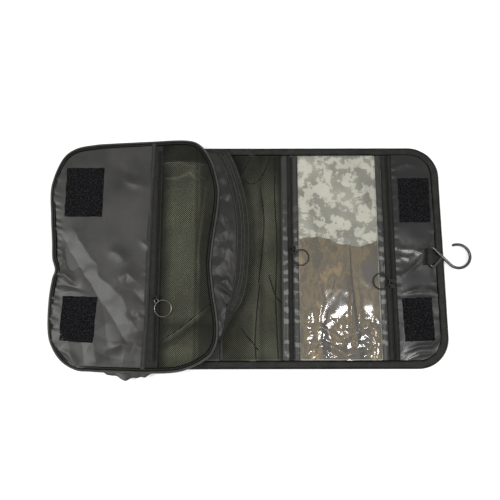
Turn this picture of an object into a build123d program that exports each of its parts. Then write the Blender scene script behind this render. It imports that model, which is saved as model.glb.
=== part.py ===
from build123d import *
import math
import os

os.makedirs("parts", exist_ok=True)

# Hanging bifold wash bag, lying open on its back. Units are mm.
# +X runs towards the hook, +Y across the bag, +Z up from the table.

# plan sizes
WIDTH = 240.0  # the back's height across the bag, along Y
LEFT = -222.4  # left edge of the compartment
FOLD_1 = -44.3  # fold between compartment and spine
FOLD_2 = 20.9  # fold between spine and top flap
RIGHT = 193.7  # right edge of the top flap
FOLD_GAP = 0.2  # half the slit that is left at each fold
CORNER = 30.0
FLAP_CORNER = 33.0

# back shell, binding and floor of the compartment
SHELL = 1.5
BINDING = 8.5
RIM = 1.2
BINDING_TOP = 3.0
BOARD_TOP = 2.3
LINING_TOP = 2.8

# compartment walls and lid
WALL = 1.2
WALL_OUT = 4.0  # how far the wall stands inside the back's edge
PART_LINE = 14.2  # height where the main zipper parts
LID_RIGHT = -49.5
LID_WIDTH = 243.0
LID_CORNER = 28.0
LID_LOW = 20.0
LID_TOP = 22.4
PIPING = 4.0

# pleat of the gusset on the fold side
PLEAT_IN = -62.0
PLEAT_SECTIONS = [
    (108.0, -50.5),
    (92.0, -39.5),
    (62.0, -28.8),
    (28.0, -21.0),
    (-6.0, -19.5),
    (-40.0, -22.3),
    (-66.0, -32.0),
    (-90.0, -46.0),
]

# pocket zippers
LID_ZIP_X = -110.3
MESH_ZIP_X = 31.3
WINDOW_ZIP_X = 136.7
TAPE = 0.6
COIL_HALF = 1.1
COIL_HIGH = 0.9
ZIP_LENGTH = 221.0
RING_RADIUS = 8.4
RING_WIRE = 0.6
RING_TILT = 5.0
EYE_RADIUS = 1.9  # small eye that joins each ring to its slider

# hook
HOOK_WIRE = 1.55
HOOK_AXIS_X = 178.0
HOOK_Z = 4.9
HOOK_BOW = 12.7
HOOK_CENTRE = (208.2, -2.2)


def save(piece, label):
    piece.label = label
    export_step(piece, "parts/" + label + ".step")


# ---------------------------------------------------------------- compartment back

with BuildPart() as base_shell:
    with BuildSketch(Plane.XY) as outline:
        with Locations(((LEFT + RIM + FOLD_1 - FOLD_GAP) / 2, 0)):
            Rectangle(FOLD_1 - FOLD_GAP - LEFT - RIM, WIDTH - 2 * RIM)
        fillet(outline.vertices().group_by(Axis.X)[0], CORNER - RIM)
    extrude(amount=SHELL)
save(base_shell.part, "base_shell")

with BuildPart() as base_binding:
    with BuildSketch(Plane.XY) as outline:
        with Locations(((LEFT + FOLD_1 - FOLD_GAP) / 2, 0)):
            Rectangle(FOLD_1 - FOLD_GAP - LEFT, WIDTH)
        fillet(outline.vertices().group_by(Axis.X)[0], CORNER)
    extrude(amount=BINDING_TOP)
    with BuildSketch(Plane.XY) as under:
        with Locations(((LEFT + RIM + FOLD_1) / 2, 0)):
            Rectangle(FOLD_1 - LEFT - RIM, WIDTH - 2 * RIM)
        fillet(under.vertices().group_by(Axis.X)[0], CORNER - RIM)
    extrude(amount=SHELL, mode=Mode.SUBTRACT)
    with BuildSketch(Plane.XY.offset(SHELL)) as middle:
        with Locations(((LEFT + BINDING + FOLD_1) / 2, 0)):
            Rectangle(FOLD_1 - LEFT - BINDING, WIDTH - 2 * BINDING)
        fillet(middle.vertices().group_by(Axis.X)[0], CORNER - BINDING)
    extrude(amount=BINDING_TOP - SHELL, mode=Mode.SUBTRACT)
save(base_binding.part, "base_binding")

# floor of the compartment, a stiffening board under a lining
for label, low, high, inset in (
    ("base_board", SHELL, BOARD_TOP, 1.5),
    ("base_lining", BOARD_TOP, LINING_TOP, 0.1),
):
    with BuildPart() as floor_layer:
        with BuildSketch(Plane.XY.offset(low)) as outline:
            with Locations(((LEFT + BINDING + inset + FOLD_1 - 2) / 2, 0)):
                Rectangle(FOLD_1 - 2 - LEFT - BINDING - inset, WIDTH - 2 * BINDING - 2 * inset)
            fillet(outline.vertices().group_by(Axis.X)[0], CORNER - BINDING - inset)
        extrude(amount=high - low)
    save(floor_layer.part, label)

# ---------------------------------------------------------------- gusset walls
# Each wall is a U open towards the fold. The left side is plain cloth and is the lid's hinge.

WALL_LEFT = LEFT + WALL_OUT / 2
WALL_RIGHT = PLEAT_IN - 1.0
WALL_HALF = WIDTH / 2 - WALL_OUT
TAPE_START = -196.0


def wall_ring(low, high, left_part):
    """A U-shaped wall band between two heights, or only its left end if left_part is set."""
    with BuildPart() as band:
        with BuildSketch(Plane.XY.offset(low)) as outer:
            with Locations(((WALL_LEFT + WALL_RIGHT) / 2, 0)):
                Rectangle(WALL_RIGHT - WALL_LEFT, 2 * WALL_HALF)
            fillet(outer.vertices().group_by(Axis.X)[0], CORNER - WALL_OUT)
        extrude(amount=high - low)
        with BuildSketch(Plane.XY.offset(low)) as inner:
            with Locations(((WALL_LEFT + WALL + WALL_RIGHT + 5) / 2, 0)):
                Rectangle(WALL_RIGHT + 5 - WALL_LEFT - WALL, 2 * (WALL_HALF - WALL))
            fillet(inner.vertices().group_by(Axis.X)[0], CORNER - WALL_OUT - WALL)
        extrude(amount=high - low, mode=Mode.SUBTRACT)
        if left_part:
            with BuildSketch(Plane.XY.offset(low)):
                with Locations(((TAPE_START + 0.1 + 100), 0)):
                    Rectangle(200, WIDTH + 20)
            extrude(amount=high - low, mode=Mode.SUBTRACT)
    return band.part


with BuildPart() as gusset_low:
    add(wall_ring(BINDING_TOP, 8.6, False))
    add(wall_ring(8.6, PART_LINE - 0.3, True))
save(gusset_low.part, "gusset_low")

with BuildPart() as gusset_up:
    add(wall_ring(18.6, LID_LOW, False))
    add(wall_ring(PART_LINE + 0.3, 18.6, True))
save(gusset_up.part, "gusset_up")

# straight runs of the main zipper's tape on the two side walls, each with half of the coil
for label, low, high, coil_z in (
    ("side_zip_low", 8.6, PART_LINE - 0.15, PART_LINE - 0.75),
    ("side_zip_up", PART_LINE + 0.15, 18.6, PART_LINE + 0.75),
):
    with BuildPart() as side_tape:
        for side in (-1, 1):
            with BuildSketch(Plane.XY.offset(low)):
                with Locations(((TAPE_START + WALL_RIGHT) / 2 + 0.1, side * (WALL_HALF - 0.5))):
                    Rectangle(WALL_RIGHT - TAPE_START - 0.2, 1.0)
            extrude(amount=high - low)
            with BuildSketch(Plane.XY.offset(coil_z - 0.6)):
                with Locations(((TAPE_START + WALL_RIGHT) / 2 + 0.1, side * (WALL_HALF + 0.3))):
                    Rectangle(WALL_RIGHT - TAPE_START - 4, 0.8)
            extrude(amount=1.2)
    save(side_tape.part, label)

# ---------------------------------------------------------------- gusset pleat
# On the fold side the soft gusset bellies outwards. It is stored as an upper and a lower leaf,
# each ending in half of the main zipper's tape.


def strip(points_at):
    """A smooth strip through one four-cornered section for each entry of PLEAT_SECTIONS."""
    with BuildPart() as body:
        for y, x in PLEAT_SECTIONS:
            with BuildSketch(Plane.XZ.offset(-y)):
                with BuildLine():
                    Polyline(*points_at(x), close=True)
                make_face()
        loft()
    return body.part


pleat_up_leaf = strip(
    lambda x: [(PLEAT_IN, 18.2), (x - 7.4, 14.8), (x - 7.4, 15.8), (PLEAT_IN, 19.2)]
)
save(pleat_up_leaf, "pleat_up_leaf")

pleat_up_tape = strip(
    lambda x: [(x - 6.8, 14.8), (x - 0.2, 13.2), (x - 0.2, 14.1), (x - 6.8, 15.7)]
)
save(pleat_up_tape, "pleat_up_tape")

pleat_low_tape = strip(
    lambda x: [(x + 0.2, 13.0), (x + 7.0, 11.3), (x + 7.0, 12.2), (x + 0.2, 13.9)]
)
save(pleat_low_tape, "pleat_low_tape")

pleat_low_leaf = strip(
    lambda x: [(PLEAT_IN, 3.1), (x + 5.5, 10.2), (x + 5.5, 11.2), (PLEAT_IN, 4.1)]
)
save(pleat_low_leaf, "pleat_low_leaf")

pleat_coil = strip(
    lambda x: [(x - 1.2, 11.3), (x + 1.2, 11.0), (x + 1.2, 12.2), (x - 1.2, 12.7)]
)
save(pleat_coil, "pleat_coil")

# ---------------------------------------------------------------- lid

LID_LEN = LID_RIGHT - LEFT
LID_MID = (LID_RIGHT + LEFT) / 2
SEAM_X = -115.6
POCKET_X = -103.7

with BuildPart() as lid_piping:
    with BuildSketch(Plane.XY.offset(LID_LOW)):
        with Locations((LID_MID, 0)):
            RectangleRounded(LID_LEN, LID_WIDTH, LID_CORNER)
            RectangleRounded(LID_LEN - 2 * PIPING, LID_WIDTH - 2 * PIPING, LID_CORNER - PIPING, mode=Mode.SUBTRACT)
    extrude(amount=3.0)
    fillet(lid_piping.edges().group_by(Axis.Z)[-1], 1.2)
    fillet(lid_piping.edges().group_by(Axis.Z)[0], 0.8)
save(lid_piping.part, "lid_piping")

INSET = PIPING + 0.1
with BuildPart() as lid_lining:
    with BuildSketch(Plane.XY.offset(LID_LOW)):
        with Locations((LID_MID, 0)):
            RectangleRounded(LID_LEN - 2 * INSET, LID_WIDTH - 2 * INSET, LID_CORNER - INSET)
    extrude(amount=0.6)
save(lid_lining.part, "lid_lining")

# outer layers of the lid: (label, left, right, low, high)
for label, left, right, low, high in (
    ("lid_panel", LEFT, SEAM_X, 20.6, LID_TOP),
    ("lid_seam_fold", SEAM_X, SEAM_X + 2.8, 20.6, LID_TOP + 0.6),
    ("lid_pocket_back", POCKET_X, 0.0, 20.6, 21.0),
    ("lid_mesh", POCKET_X, 0.0, 22.0, 22.5),
):
    with BuildPart() as layer:
        with BuildSketch(Plane.XY.offset(low)):
            with Locations((LID_MID, 0)):
                RectangleRounded(LID_LEN - 2 * INSET, LID_WIDTH - 2 * INSET, LID_CORNER - INSET)
            with Locations(((left + right) / 2, 0)):
                Rectangle(right - left, LID_WIDTH, mode=Mode.INTERSECT)
        extrude(amount=high - low)
    save(layer.part, label)

# ---------------------------------------------------------------- spine

SPINE_LEFT = FOLD_1 + FOLD_GAP
SPINE_RIGHT = FOLD_2 - FOLD_GAP
SPINE_MID = (SPINE_LEFT + SPINE_RIGHT) / 2

with BuildPart() as spine_shell:
    with BuildSketch(Plane.XY):
        with Locations((SPINE_MID, 0)):
            Rectangle(SPINE_RIGHT - SPINE_LEFT, WIDTH - 2 * RIM)
    extrude(amount=SHELL)
save(spine_shell.part, "spine_shell")

with BuildPart() as spine_binding:
    with BuildSketch(Plane.YZ.offset(SPINE_LEFT)):
        for side in (-1, 1):
            with Locations((side * (WIDTH / 2 - RIM / 2), BINDING_TOP / 2)):
                Rectangle(RIM, BINDING_TOP)
            with Locations((side * (WIDTH / 2 - BINDING / 2), (SHELL + BINDING_TOP) / 2)):
                Rectangle(BINDING, BINDING_TOP - SHELL)
    extrude(amount=SPINE_RIGHT - SPINE_LEFT)
save(spine_binding.part, "spine_binding")

INNER_WIDTH = WIDTH - 2 * BINDING - 0.2
for label, low, high in (("spine_backing", SHELL, 2.0), ("spine_mesh", 2.5, 3.0)):
    with BuildPart() as spine_layer:
        with BuildSketch(Plane.XY.offset(low)):
            with Locations((SPINE_MID, 0)):
                Rectangle(SPINE_RIGHT - SPINE_LEFT - 1.0, INNER_WIDTH)
        extrude(amount=high - low)
    save(spine_layer.part, label)

# ---------------------------------------------------------------- top flap

FLAP_LEFT = FOLD_2 + FOLD_GAP

with BuildPart() as flap_shell:
    with BuildSketch(Plane.XY) as outline:
        with Locations(((FLAP_LEFT + RIGHT - RIM) / 2, 0)):
            Rectangle(RIGHT - RIM - FLAP_LEFT, WIDTH - 2 * RIM)
        fillet(outline.vertices().group_by(Axis.X)[-1], FLAP_CORNER - RIM)
    extrude(amount=SHELL)
save(flap_shell.part, "flap_shell")

with BuildPart() as flap_binding:
    with BuildSketch(Plane.XY) as outline:
        with Locations(((FLAP_LEFT + RIGHT) / 2, 0)):
            Rectangle(RIGHT - FLAP_LEFT, WIDTH)
        fillet(outline.vertices().group_by(Axis.X)[-1], FLAP_CORNER)
    extrude(amount=BINDING_TOP)
    with BuildSketch(Plane.XY) as under:
        with Locations(((FOLD_2 + RIGHT - RIM) / 2, 0)):
            Rectangle(RIGHT - RIM - FOLD_2, WIDTH - 2 * RIM)
        fillet(under.vertices().group_by(Axis.X)[-1], FLAP_CORNER - RIM)
    extrude(amount=SHELL, mode=Mode.SUBTRACT)
    with BuildSketch(Plane.XY.offset(SHELL)) as middle:
        with Locations(((FOLD_2 + RIGHT - BINDING) / 2, 0)):
            Rectangle(RIGHT - BINDING - FOLD_2, WIDTH - 2 * BINDING)
        fillet(middle.vertices().group_by(Axis.X)[-1], FLAP_CORNER - BINDING)
    extrude(amount=BINDING_TOP - SHELL, mode=Mode.SUBTRACT)
save(flap_binding.part, "flap_binding")

WINDOW_LEFT = 38.4
WINDOW_RIGHT = 123.8
PANEL_LEFT = 141.9
PANEL_RIGHT = RIGHT - BINDING - 0.1

# flat layers of the flap: (label, left, right, half width, low, high)
HALF = INNER_WIDTH / 2
for label, left, right, half, low, high in (
    ("fold_band", FLAP_LEFT + 0.5, 26.6, HALF, SHELL, 3.0),
    ("window_backing", 27.0, 136.0, HALF, SHELL, 1.9),
    ("window_band", WINDOW_RIGHT + 0.2, 129.6, HALF, 2.3, 3.2),
    ("window", WINDOW_LEFT, WINDOW_RIGHT, HALF, 3.1, 3.5),
):
    with BuildPart() as flap_layer:
        with BuildSketch(Plane.XY.offset(low)):
            with Locations(((left + right) / 2, 0)):
                Rectangle(right - left, 2 * half)
        extrude(amount=high - low)
    save(flap_layer.part, label)

# loose card in the window pocket, on the lower half
with BuildPart() as liner_card:
    with BuildSketch(Plane.XY.offset(1.9)) as card:
        with Locations(((41.0 + 121.0) / 2, (-108.0 + 4.0) / 2)):
            Rectangle(80.0, 112.0)
        fillet(card.vertices(), 4.0)
    extrude(amount=0.4)
save(liner_card.part, "liner_card")

with BuildPart() as hang_panel:
    with BuildSketch(Plane.XY.offset(SHELL)) as outline:
        with Locations(((PANEL_LEFT + PANEL_RIGHT) / 2, 0)):
            Rectangle(PANEL_RIGHT - PANEL_LEFT, INNER_WIDTH)
        fillet(outline.vertices().group_by(Axis.X)[-1], FLAP_CORNER - BINDING - 0.1)
    extrude(amount=BINDING_TOP - SHELL)
save(hang_panel.part, "hang_panel")

# ---------------------------------------------------------------- hook-and-loop patches


def patch(label, left, right, bottom, top, height):
    """A thick fuzzy rectangle sewn to the panel that lies at the given height."""
    with BuildPart() as pad:
        with BuildSketch(Plane.XY.offset(height)) as area:
            with Locations(((left + right) / 2, (bottom + top) / 2)):
                Rectangle(right - left, top - bottom)
            fillet(area.vertices(), 1.5)
        extrude(amount=1.2)
        fillet(pad.edges().group_by(Axis.Z)[-1], 0.4)
    save(pad.part, label)


patch("lid_patch_top", -208.2, -169.0, 37.8, 90.6, LID_TOP)
patch("lid_patch_bottom", -206.0, -171.2, -91.5, -45.6, LID_TOP)
patch("flap_patch_top", 148.1, 181.8, 35.2, 84.8, BINDING_TOP)
patch("flap_patch_bottom", 147.0, 178.3, -91.4, -46.2, BINDING_TOP)

# ---------------------------------------------------------------- pocket zippers


def pocket_zip(name, x, left, right, height):
    """Two tapes and the closed coil of a straight pocket zipper along Y."""
    with BuildPart() as tapes:
        for low, high in ((left, x - 0.2), (x + 0.2, right)):
            with BuildSketch(Plane.XY.offset(height - TAPE)):
                with Locations(((low + high) / 2, 0)):
                    Rectangle(high - low, INNER_WIDTH)
            extrude(amount=TAPE)
    save(tapes.part, name + "_tapes")
    with BuildPart() as coil:
        with BuildSketch(Plane.XZ.offset(-ZIP_LENGTH / 2)):
            with BuildLine():
                ThreePointArc(
                    (x - COIL_HALF, height), (x, height + COIL_HIGH), (x + COIL_HALF, height)
                )
                Line((x + COIL_HALF, height), (x - COIL_HALF, height))
            make_face()
        extrude(amount=ZIP_LENGTH)
    save(coil.part, name + "_coil")


LID_TAPE_TOP = 21.9
FLAP_TAPE_TOP = 3.0
pocket_zip("lid_zip", LID_ZIP_X, SEAM_X + 2.9, POCKET_X - 0.1, LID_TAPE_TOP)
pocket_zip("mesh_zip", MESH_ZIP_X, 26.7, WINDOW_LEFT - 0.1, FLAP_TAPE_TOP)
pocket_zip("window_zip", WINDOW_ZIP_X, 129.8, PANEL_LEFT - 0.1, FLAP_TAPE_TOP)


def slider_and_ring(name, x, y, tape_top, heading):
    """A slider that rides over the coil, its bail, and a wire ring whose eye hangs in the bail."""
    plate_low = tape_top + COIL_HIGH + 0.3
    plate_top = plate_low + 1.2
    bail = Plane(
        origin=(x, y, plate_top),
        x_dir=(math.cos(math.radians(heading)), math.sin(math.radians(heading)), 0),
        z_dir=(math.sin(math.radians(heading)), -math.cos(math.radians(heading)), 0),
    )
    with BuildPart() as slider:
        with BuildSketch(Plane.XY.offset(plate_low)) as face:
            with BuildLine():
                Polyline(
                    (x - 2.4, y - 4.8),
                    (x + 2.4, y - 4.8),
                    (x + 3.7, y + 1.6),
                    (x + 3.4, y + 4.8),
                    (x - 3.4, y + 4.8),
                    (x - 3.7, y + 1.6),
                    close=True,
                )
            make_face()
            fillet(face.vertices(), 0.9)
        extrude(amount=1.2)
        with BuildSketch(Plane.XY.offset(tape_top + 0.2)):
            for side in (-1, 1):
                with Locations((x + side * 2.0, y - 0.6)):
                    Rectangle(0.8, 6.6)
        extrude(amount=COIL_HIGH + 0.2)
        with BuildSketch(bail):
            with Locations((0, 0.2)):
                Circle(2.85)
                Circle(1.75, mode=Mode.SUBTRACT)
            with Locations((0, -1.5)):
                Rectangle(8, 3, mode=Mode.SUBTRACT)
        extrude(amount=0.55, both=True)
    save(slider.part, name + "_slider")
    tilt = math.radians(RING_TILT)
    across = (math.cos(math.radians(heading)), math.sin(math.radians(heading)))
    flat = Plane(
        origin=(x, y, plate_top + 1.05),
        x_dir=(across[0] * math.cos(tilt), across[1] * math.cos(tilt), -math.sin(tilt)),
        z_dir=(across[0] * math.sin(tilt), across[1] * math.sin(tilt), math.cos(tilt)),
    )
    with BuildPart(flat) as ring:
        with Locations((EYE_RADIUS, 0)):
            Torus(EYE_RADIUS, RING_WIRE)
        with Locations((2 * EYE_RADIUS + RING_RADIUS - 0.3, 0)):
            Torus(RING_RADIUS, RING_WIRE)
    save(ring.part, name + "_ring")


slider_and_ring("lid_zip", LID_ZIP_X, -49.2, LID_TAPE_TOP, -48.0)
slider_and_ring("mesh_zip", MESH_ZIP_X, 4.6, FLAP_TAPE_TOP, -41.0)
slider_and_ring("window_zip", WINDOW_ZIP_X, -31.4, FLAP_TAPE_TOP, 168.0)

# ---------------------------------------------------------------- main slider

MAIN_X = -152.0
FRONT = -WALL_HALF - 0.7

with BuildPart() as main_slider:
    with BuildSketch(Plane.XY.offset(PART_LINE - 2.4)):
        with Locations((MAIN_X, FRONT - 1.0)):
            Rectangle(9.0, 1.4)
    extrude(amount=4.8)
    with BuildSketch(Plane.XY.offset(PART_LINE - 1.0)):
        with Locations((MAIN_X - 3.2, FRONT - 2.5)):
            Rectangle(1.2, 1.6)
    extrude(amount=2.0)
save(main_slider.part, "main_slider")

with BuildPart() as main_pull:
    with BuildSketch(Plane.XY.offset(PART_LINE - 2.2)):
        with Locations((MAIN_X + 4.8, FRONT - 2.5)):
            Rectangle(13.0, 1.0)
    extrude(amount=4.4)
    fillet(main_pull.edges().filter_by(Axis.Y), 0.9)
save(main_pull.part, "main_pull")

# ---------------------------------------------------------------- fabric loop and hook

TUBE_HALF = 3.9
TUBE_TOP = 8.0
TUBE_CLOTH = 0.7
TUBE_Y = (-9.8, 3.7)

TUBE_LENGTH = TUBE_Y[1] - TUBE_Y[0]
TUBE_HIGH = TUBE_TOP - BINDING_TOP

with BuildPart() as hook_tube:
    with BuildSketch(Plane.XZ.offset(-TUBE_Y[1])):
        with Locations((HOOK_AXIS_X, BINDING_TOP + TUBE_HIGH / 2)):
            Rectangle(2 * TUBE_HALF, TUBE_HIGH)
        with Locations((HOOK_AXIS_X, BINDING_TOP + (TUBE_HIGH - TUBE_CLOTH) / 2)):
            Rectangle(2 * (TUBE_HALF - TUBE_CLOTH), TUBE_HIGH - TUBE_CLOTH, mode=Mode.SUBTRACT)
    extrude(amount=TUBE_LENGTH)
    chamfer(hook_tube.edges().filter_by(Axis.Y).group_by(Axis.Z)[-1], 0.6)
save(hook_tube.part, "hook_tube")

SHANK = math.radians(-46.0)
TOUCH = (
    HOOK_CENTRE[0] + HOOK_BOW * math.cos(SHANK - math.pi / 2),
    HOOK_CENTRE[1] + HOOK_BOW * math.sin(SHANK - math.pi / 2),
)
SHANK_LEN = (TOUCH[0] - HOOK_AXIS_X) / math.cos(SHANK)
EYE_TOP = (HOOK_AXIS_X, TOUCH[1] - SHANK_LEN * math.sin(SHANK))
EYE_LOW = (HOOK_AXIS_X, -17.2)
CROSS = (191.2, TOUCH[1] - (TOUCH[0] - 191.2) * math.tan(SHANK))
LEG = math.atan2(CROSS[1] - EYE_LOW[1], CROSS[0] - EYE_LOW[0])
LEG_END = (CROSS[0] - 1.75 * math.cos(LEG), CROSS[1] - 1.75 * math.sin(LEG))

with BuildPart() as hanging_hook:
    with BuildLine(Plane.XY.offset(HOOK_Z)) as path:
        FilletPolyline(LEG_END, EYE_LOW, EYE_TOP, TOUCH, radius=2.6)
        CenterArc(HOOK_CENTRE, HOOK_BOW, -136.0, 246.0)
    with BuildSketch(Plane(origin=path.wire() @ 0, z_dir=path.wire() % 0)):
        Circle(HOOK_WIRE)
    sweep(path=path.wire())
    tip = (
        HOOK_CENTRE[0] + HOOK_BOW * math.cos(math.radians(110.0)),
        HOOK_CENTRE[1] + HOOK_BOW * math.sin(math.radians(110.0)),
        HOOK_Z,
    )
    with Locations(tip):
        Sphere(HOOK_WIRE)
save(hanging_hook.part, "hanging_hook")
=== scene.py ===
import math

import bpy
import numpy as np
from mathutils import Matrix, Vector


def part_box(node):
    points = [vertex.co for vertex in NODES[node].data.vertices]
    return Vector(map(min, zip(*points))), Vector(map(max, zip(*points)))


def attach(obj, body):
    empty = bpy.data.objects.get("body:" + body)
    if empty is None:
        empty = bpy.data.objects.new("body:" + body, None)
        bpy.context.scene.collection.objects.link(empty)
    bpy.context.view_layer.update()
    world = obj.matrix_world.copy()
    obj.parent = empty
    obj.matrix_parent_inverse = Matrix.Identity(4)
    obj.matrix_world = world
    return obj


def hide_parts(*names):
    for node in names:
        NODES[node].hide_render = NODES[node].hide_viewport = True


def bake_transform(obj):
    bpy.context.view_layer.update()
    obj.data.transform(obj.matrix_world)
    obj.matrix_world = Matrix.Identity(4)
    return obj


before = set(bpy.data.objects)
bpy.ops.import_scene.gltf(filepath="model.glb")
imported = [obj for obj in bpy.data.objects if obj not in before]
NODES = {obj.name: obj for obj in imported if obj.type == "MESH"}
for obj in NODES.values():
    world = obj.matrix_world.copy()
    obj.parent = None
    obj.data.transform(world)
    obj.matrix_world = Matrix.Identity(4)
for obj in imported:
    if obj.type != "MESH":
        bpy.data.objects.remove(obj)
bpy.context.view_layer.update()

MM = 0.001


def mm_box(node):
    """Lowest and highest corner of a CAD node, in mm."""
    low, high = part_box(node)
    return np.array(low) / MM, np.array(high) / MM


# ------------------------------------------------------------ places, all from the CAD
base_low, base_high = mm_box("base_binding")
flap_low, flap_high = mm_box("flap_binding")
spine_low, spine_high = mm_box("spine_shell")
lid_low, lid_high = mm_box("lid_piping")
LEFT, RIGHT = base_low[0], flap_high[0]
HALF = base_high[1]
FOLD_1 = (base_high[0] + spine_low[0]) / 2
FOLD_2 = (spine_high[0] + flap_low[0]) / 2
HINGE_Z = 3.2
LID_RIGHT = lid_high[0]
LID_TOP = mm_box("lid_panel")[1][2]
LID_LOW = mm_box("lid_lining")[0][2]
BINDING = 8.5
SHELL_TOP = spine_high[2]
PART_LINE = 14.2
FLAP_CORNER = 33.0
BASE_CORNER = 30.0

# ------------------------------------------------------------ smooth noise


def lattice(ix, iy, seed):
    h = (ix * 374761393 + iy * 668265263 + seed * 982451653) & 0xFFFFFFFF
    h = ((h ^ (h >> 13)) * 1274126177) & 0xFFFFFFFF
    return ((h ^ (h >> 16)) & 0xFFFF) / 32767.5 - 1.0


def noise(x, y, size, seed):
    u, v = np.asarray(x, float) / size, np.asarray(y, float) / size
    iu, iv = np.floor(u).astype(np.int64), np.floor(v).astype(np.int64)
    a, b = u - iu, v - iv
    a, b = a * a * (3 - 2 * a), b * b * (3 - 2 * b)
    low = lattice(iu, iv, seed) * (1 - a) + lattice(iu + 1, iv, seed) * a
    high = lattice(iu, iv + 1, seed) * (1 - a) + lattice(iu + 1, iv + 1, seed) * a
    return low * (1 - b) + high * b


def fbm(x, y, size, seed, octaves=3):
    total, gain = 0.0, 1.0
    for k in range(octaves):
        total = total + gain * noise(x, y, size / 2**k, seed + 17 * k)
        gain *= 0.5
    return total


def smooth(t):
    t = np.clip(t, 0, 1)
    return t * t * (3 - 2 * t)


def crease(x, y, path, width, height):
    """A soft ridge (or valley, for a negative height) along a path, fading at both ends."""
    pts = np.array(path, float)
    seg = np.linalg.norm(np.diff(pts, axis=0), axis=1)
    done = np.concatenate([[0], np.cumsum(seg)]) / seg.sum()
    best, where = np.full(np.shape(x), 1e9), np.zeros(np.shape(x))
    for k in range(len(seg)):
        d = pts[k + 1] - pts[k]
        t = np.clip(((x - pts[k][0]) * d[0] + (y - pts[k][1]) * d[1]) / seg[k] ** 2, 0, 1)
        dist = np.hypot(x - pts[k][0] - t * d[0], y - pts[k][1] - t * d[1])
        near = dist < best
        best = np.where(near, dist, best)
        where = np.where(near, done[k] + t * (done[k + 1] - done[k]), where)
    fade = np.sin(np.pi * np.clip(where, 0.03, 0.97)) ** 0.6
    return height * fade * np.exp(-((best / width) ** 1.6))


def facet(x, y, start, end, width, rise):
    """A tilted strip between two points: the cloth steps up by rise across it."""
    sx, sy = start
    dx, dy = end[0] - sx, end[1] - sy
    length = math.hypot(dx, dy)
    along = ((x - sx) * dx + (y - sy) * dy) / length
    across = ((x - sx) * -dy + (y - sy) * dx) / length
    inside = smooth((along + 8) / 16) * smooth((length + 8 - along) / 16)
    step = np.clip((across + width / 2) / width, 0, 1) - 0.5
    return rise * step * inside * np.exp(-np.maximum(np.abs(across) - width / 2, 0) / 14)


# ------------------------------------------------------------ mesh makers


def crumple(x, y, size, seed):
    """Flat facets that meet in sharp folds: triangle waves in a few directions, each bent by noise."""
    z = 0.0
    for k, turn in enumerate((0.35, 1.40, 2.45)):
        run = (x * math.cos(turn) + y * math.sin(turn)) / size + 1.2 * noise(x, y, size * 2.2, seed + k)
        z = z + np.abs(run % 2 - 1)
    return z / 3


def make(name, verts, faces, mat, body=None, angle=50):
    mesh = bpy.data.meshes.new(name)
    mesh.from_pydata((np.asarray(verts, float) * MM).tolist(), [], [list(map(int, f)) for f in faces])
    mesh.validate()
    mesh.shade_smooth()
    mesh.set_sharp_from_angle(angle=math.radians(angle))
    obj = bpy.data.objects.new(name, mesh)
    bpy.context.scene.collection.objects.link(obj)
    mesh.materials.append(mat)
    if body:
        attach(obj, body)
    return obj


def grid_faces(n, m, offset=0):
    i, j = np.meshgrid(np.arange(n - 1), np.arange(m - 1), indexing="ij")
    a = (i * m + j).ravel() + offset
    return np.stack([a, a + m, a + m + 1, a + 1], 1)


def slab(name, top, bottom, mat, body=None, angle=50):
    """A closed thin solid between two grids of points, n by m by 3."""
    n, m = top.shape[:2]
    verts = np.concatenate([top.reshape(-1, 3), bottom.reshape(-1, 3)])
    upper = grid_faces(n, m)
    lower = grid_faces(n, m, n * m)[:, ::-1]
    ring = np.concatenate(
        [
            np.arange(m - 1),
            np.arange(n - 1) * m + m - 1,
            (n - 1) * m + np.arange(m - 1, 0, -1),
            np.arange(n - 1, 0, -1) * m,
        ]
    )
    after = np.roll(ring, -1)
    walls = np.stack([ring, after, after + n * m, ring + n * m], 1)
    faces = np.concatenate([upper, lower, walls])
    obj = make(name, verts, faces, mat, None, angle)
    fix_normals(obj)
    if body:
        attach(obj, body)
    return obj


def fix_normals(obj):
    import bmesh

    bm = bmesh.new()
    bm.from_mesh(obj.data)
    bmesh.ops.recalc_face_normals(bm, faces=bm.faces)
    bm.to_mesh(obj.data)
    bm.free()


def normals(P):
    du, dv = np.gradient(P, axis=0), np.gradient(P, axis=1)
    nrm = np.cross(du, dv)
    nrm /= np.linalg.norm(nrm, axis=2, keepdims=True) + 1e-12
    if nrm[..., 2].mean() < 0:
        nrm = -nrm
    return nrm


def cloth(name, P, thick, mat, body=None, angle=60):
    """A closed sheet of even thickness under the grid of points P."""
    return slab(name, P, P - normals(P) * thick, mat, body, angle)


def tube_data(path, radius, sides=8, closed=False, start=0):
    """Vertices and faces of a tube along a path."""
    path = np.asarray(path, float)
    k = len(path)
    if closed:
        t = np.roll(path, -1, 0) - np.roll(path, 1, 0)
    else:
        t = np.gradient(path, axis=0)
    t /= np.linalg.norm(t, axis=1, keepdims=True) + 1e-12
    up = np.array([0.0, 0.0, 1.0])
    side = np.cross(t, up)
    flat = np.linalg.norm(side, axis=1) < 1e-3
    side[flat] = (1, 0, 0)
    side /= np.linalg.norm(side, axis=1, keepdims=True)
    over = np.cross(side, t)
    radius = np.broadcast_to(np.asarray(radius, float), (k,))
    a = np.arange(sides) * 2 * math.pi / sides
    rings = (
        path[:, None, :]
        + radius[
            :, None, None
        ] * (np.cos(a)[None, :, None] * side[:, None, :] + np.sin(a)[None, :, None] * over[:, None, :])
    )
    verts = rings.reshape(-1, 3)
    faces = []
    last = k if closed else k - 1
    for i in range(last):
        j = (i + 1) % k
        for s in range(sides):
            s2 = (s + 1) % sides
            faces.append(
                (start + i * sides + s, start + j * sides + s, start + j * sides + s2, start + i * sides + s2)
            )
    if not closed:
        faces.append([start + s for s in range(sides)][::-1])
        faces.append([start + (k - 1) * sides + s for s in range(sides)])
    return verts, faces


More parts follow.
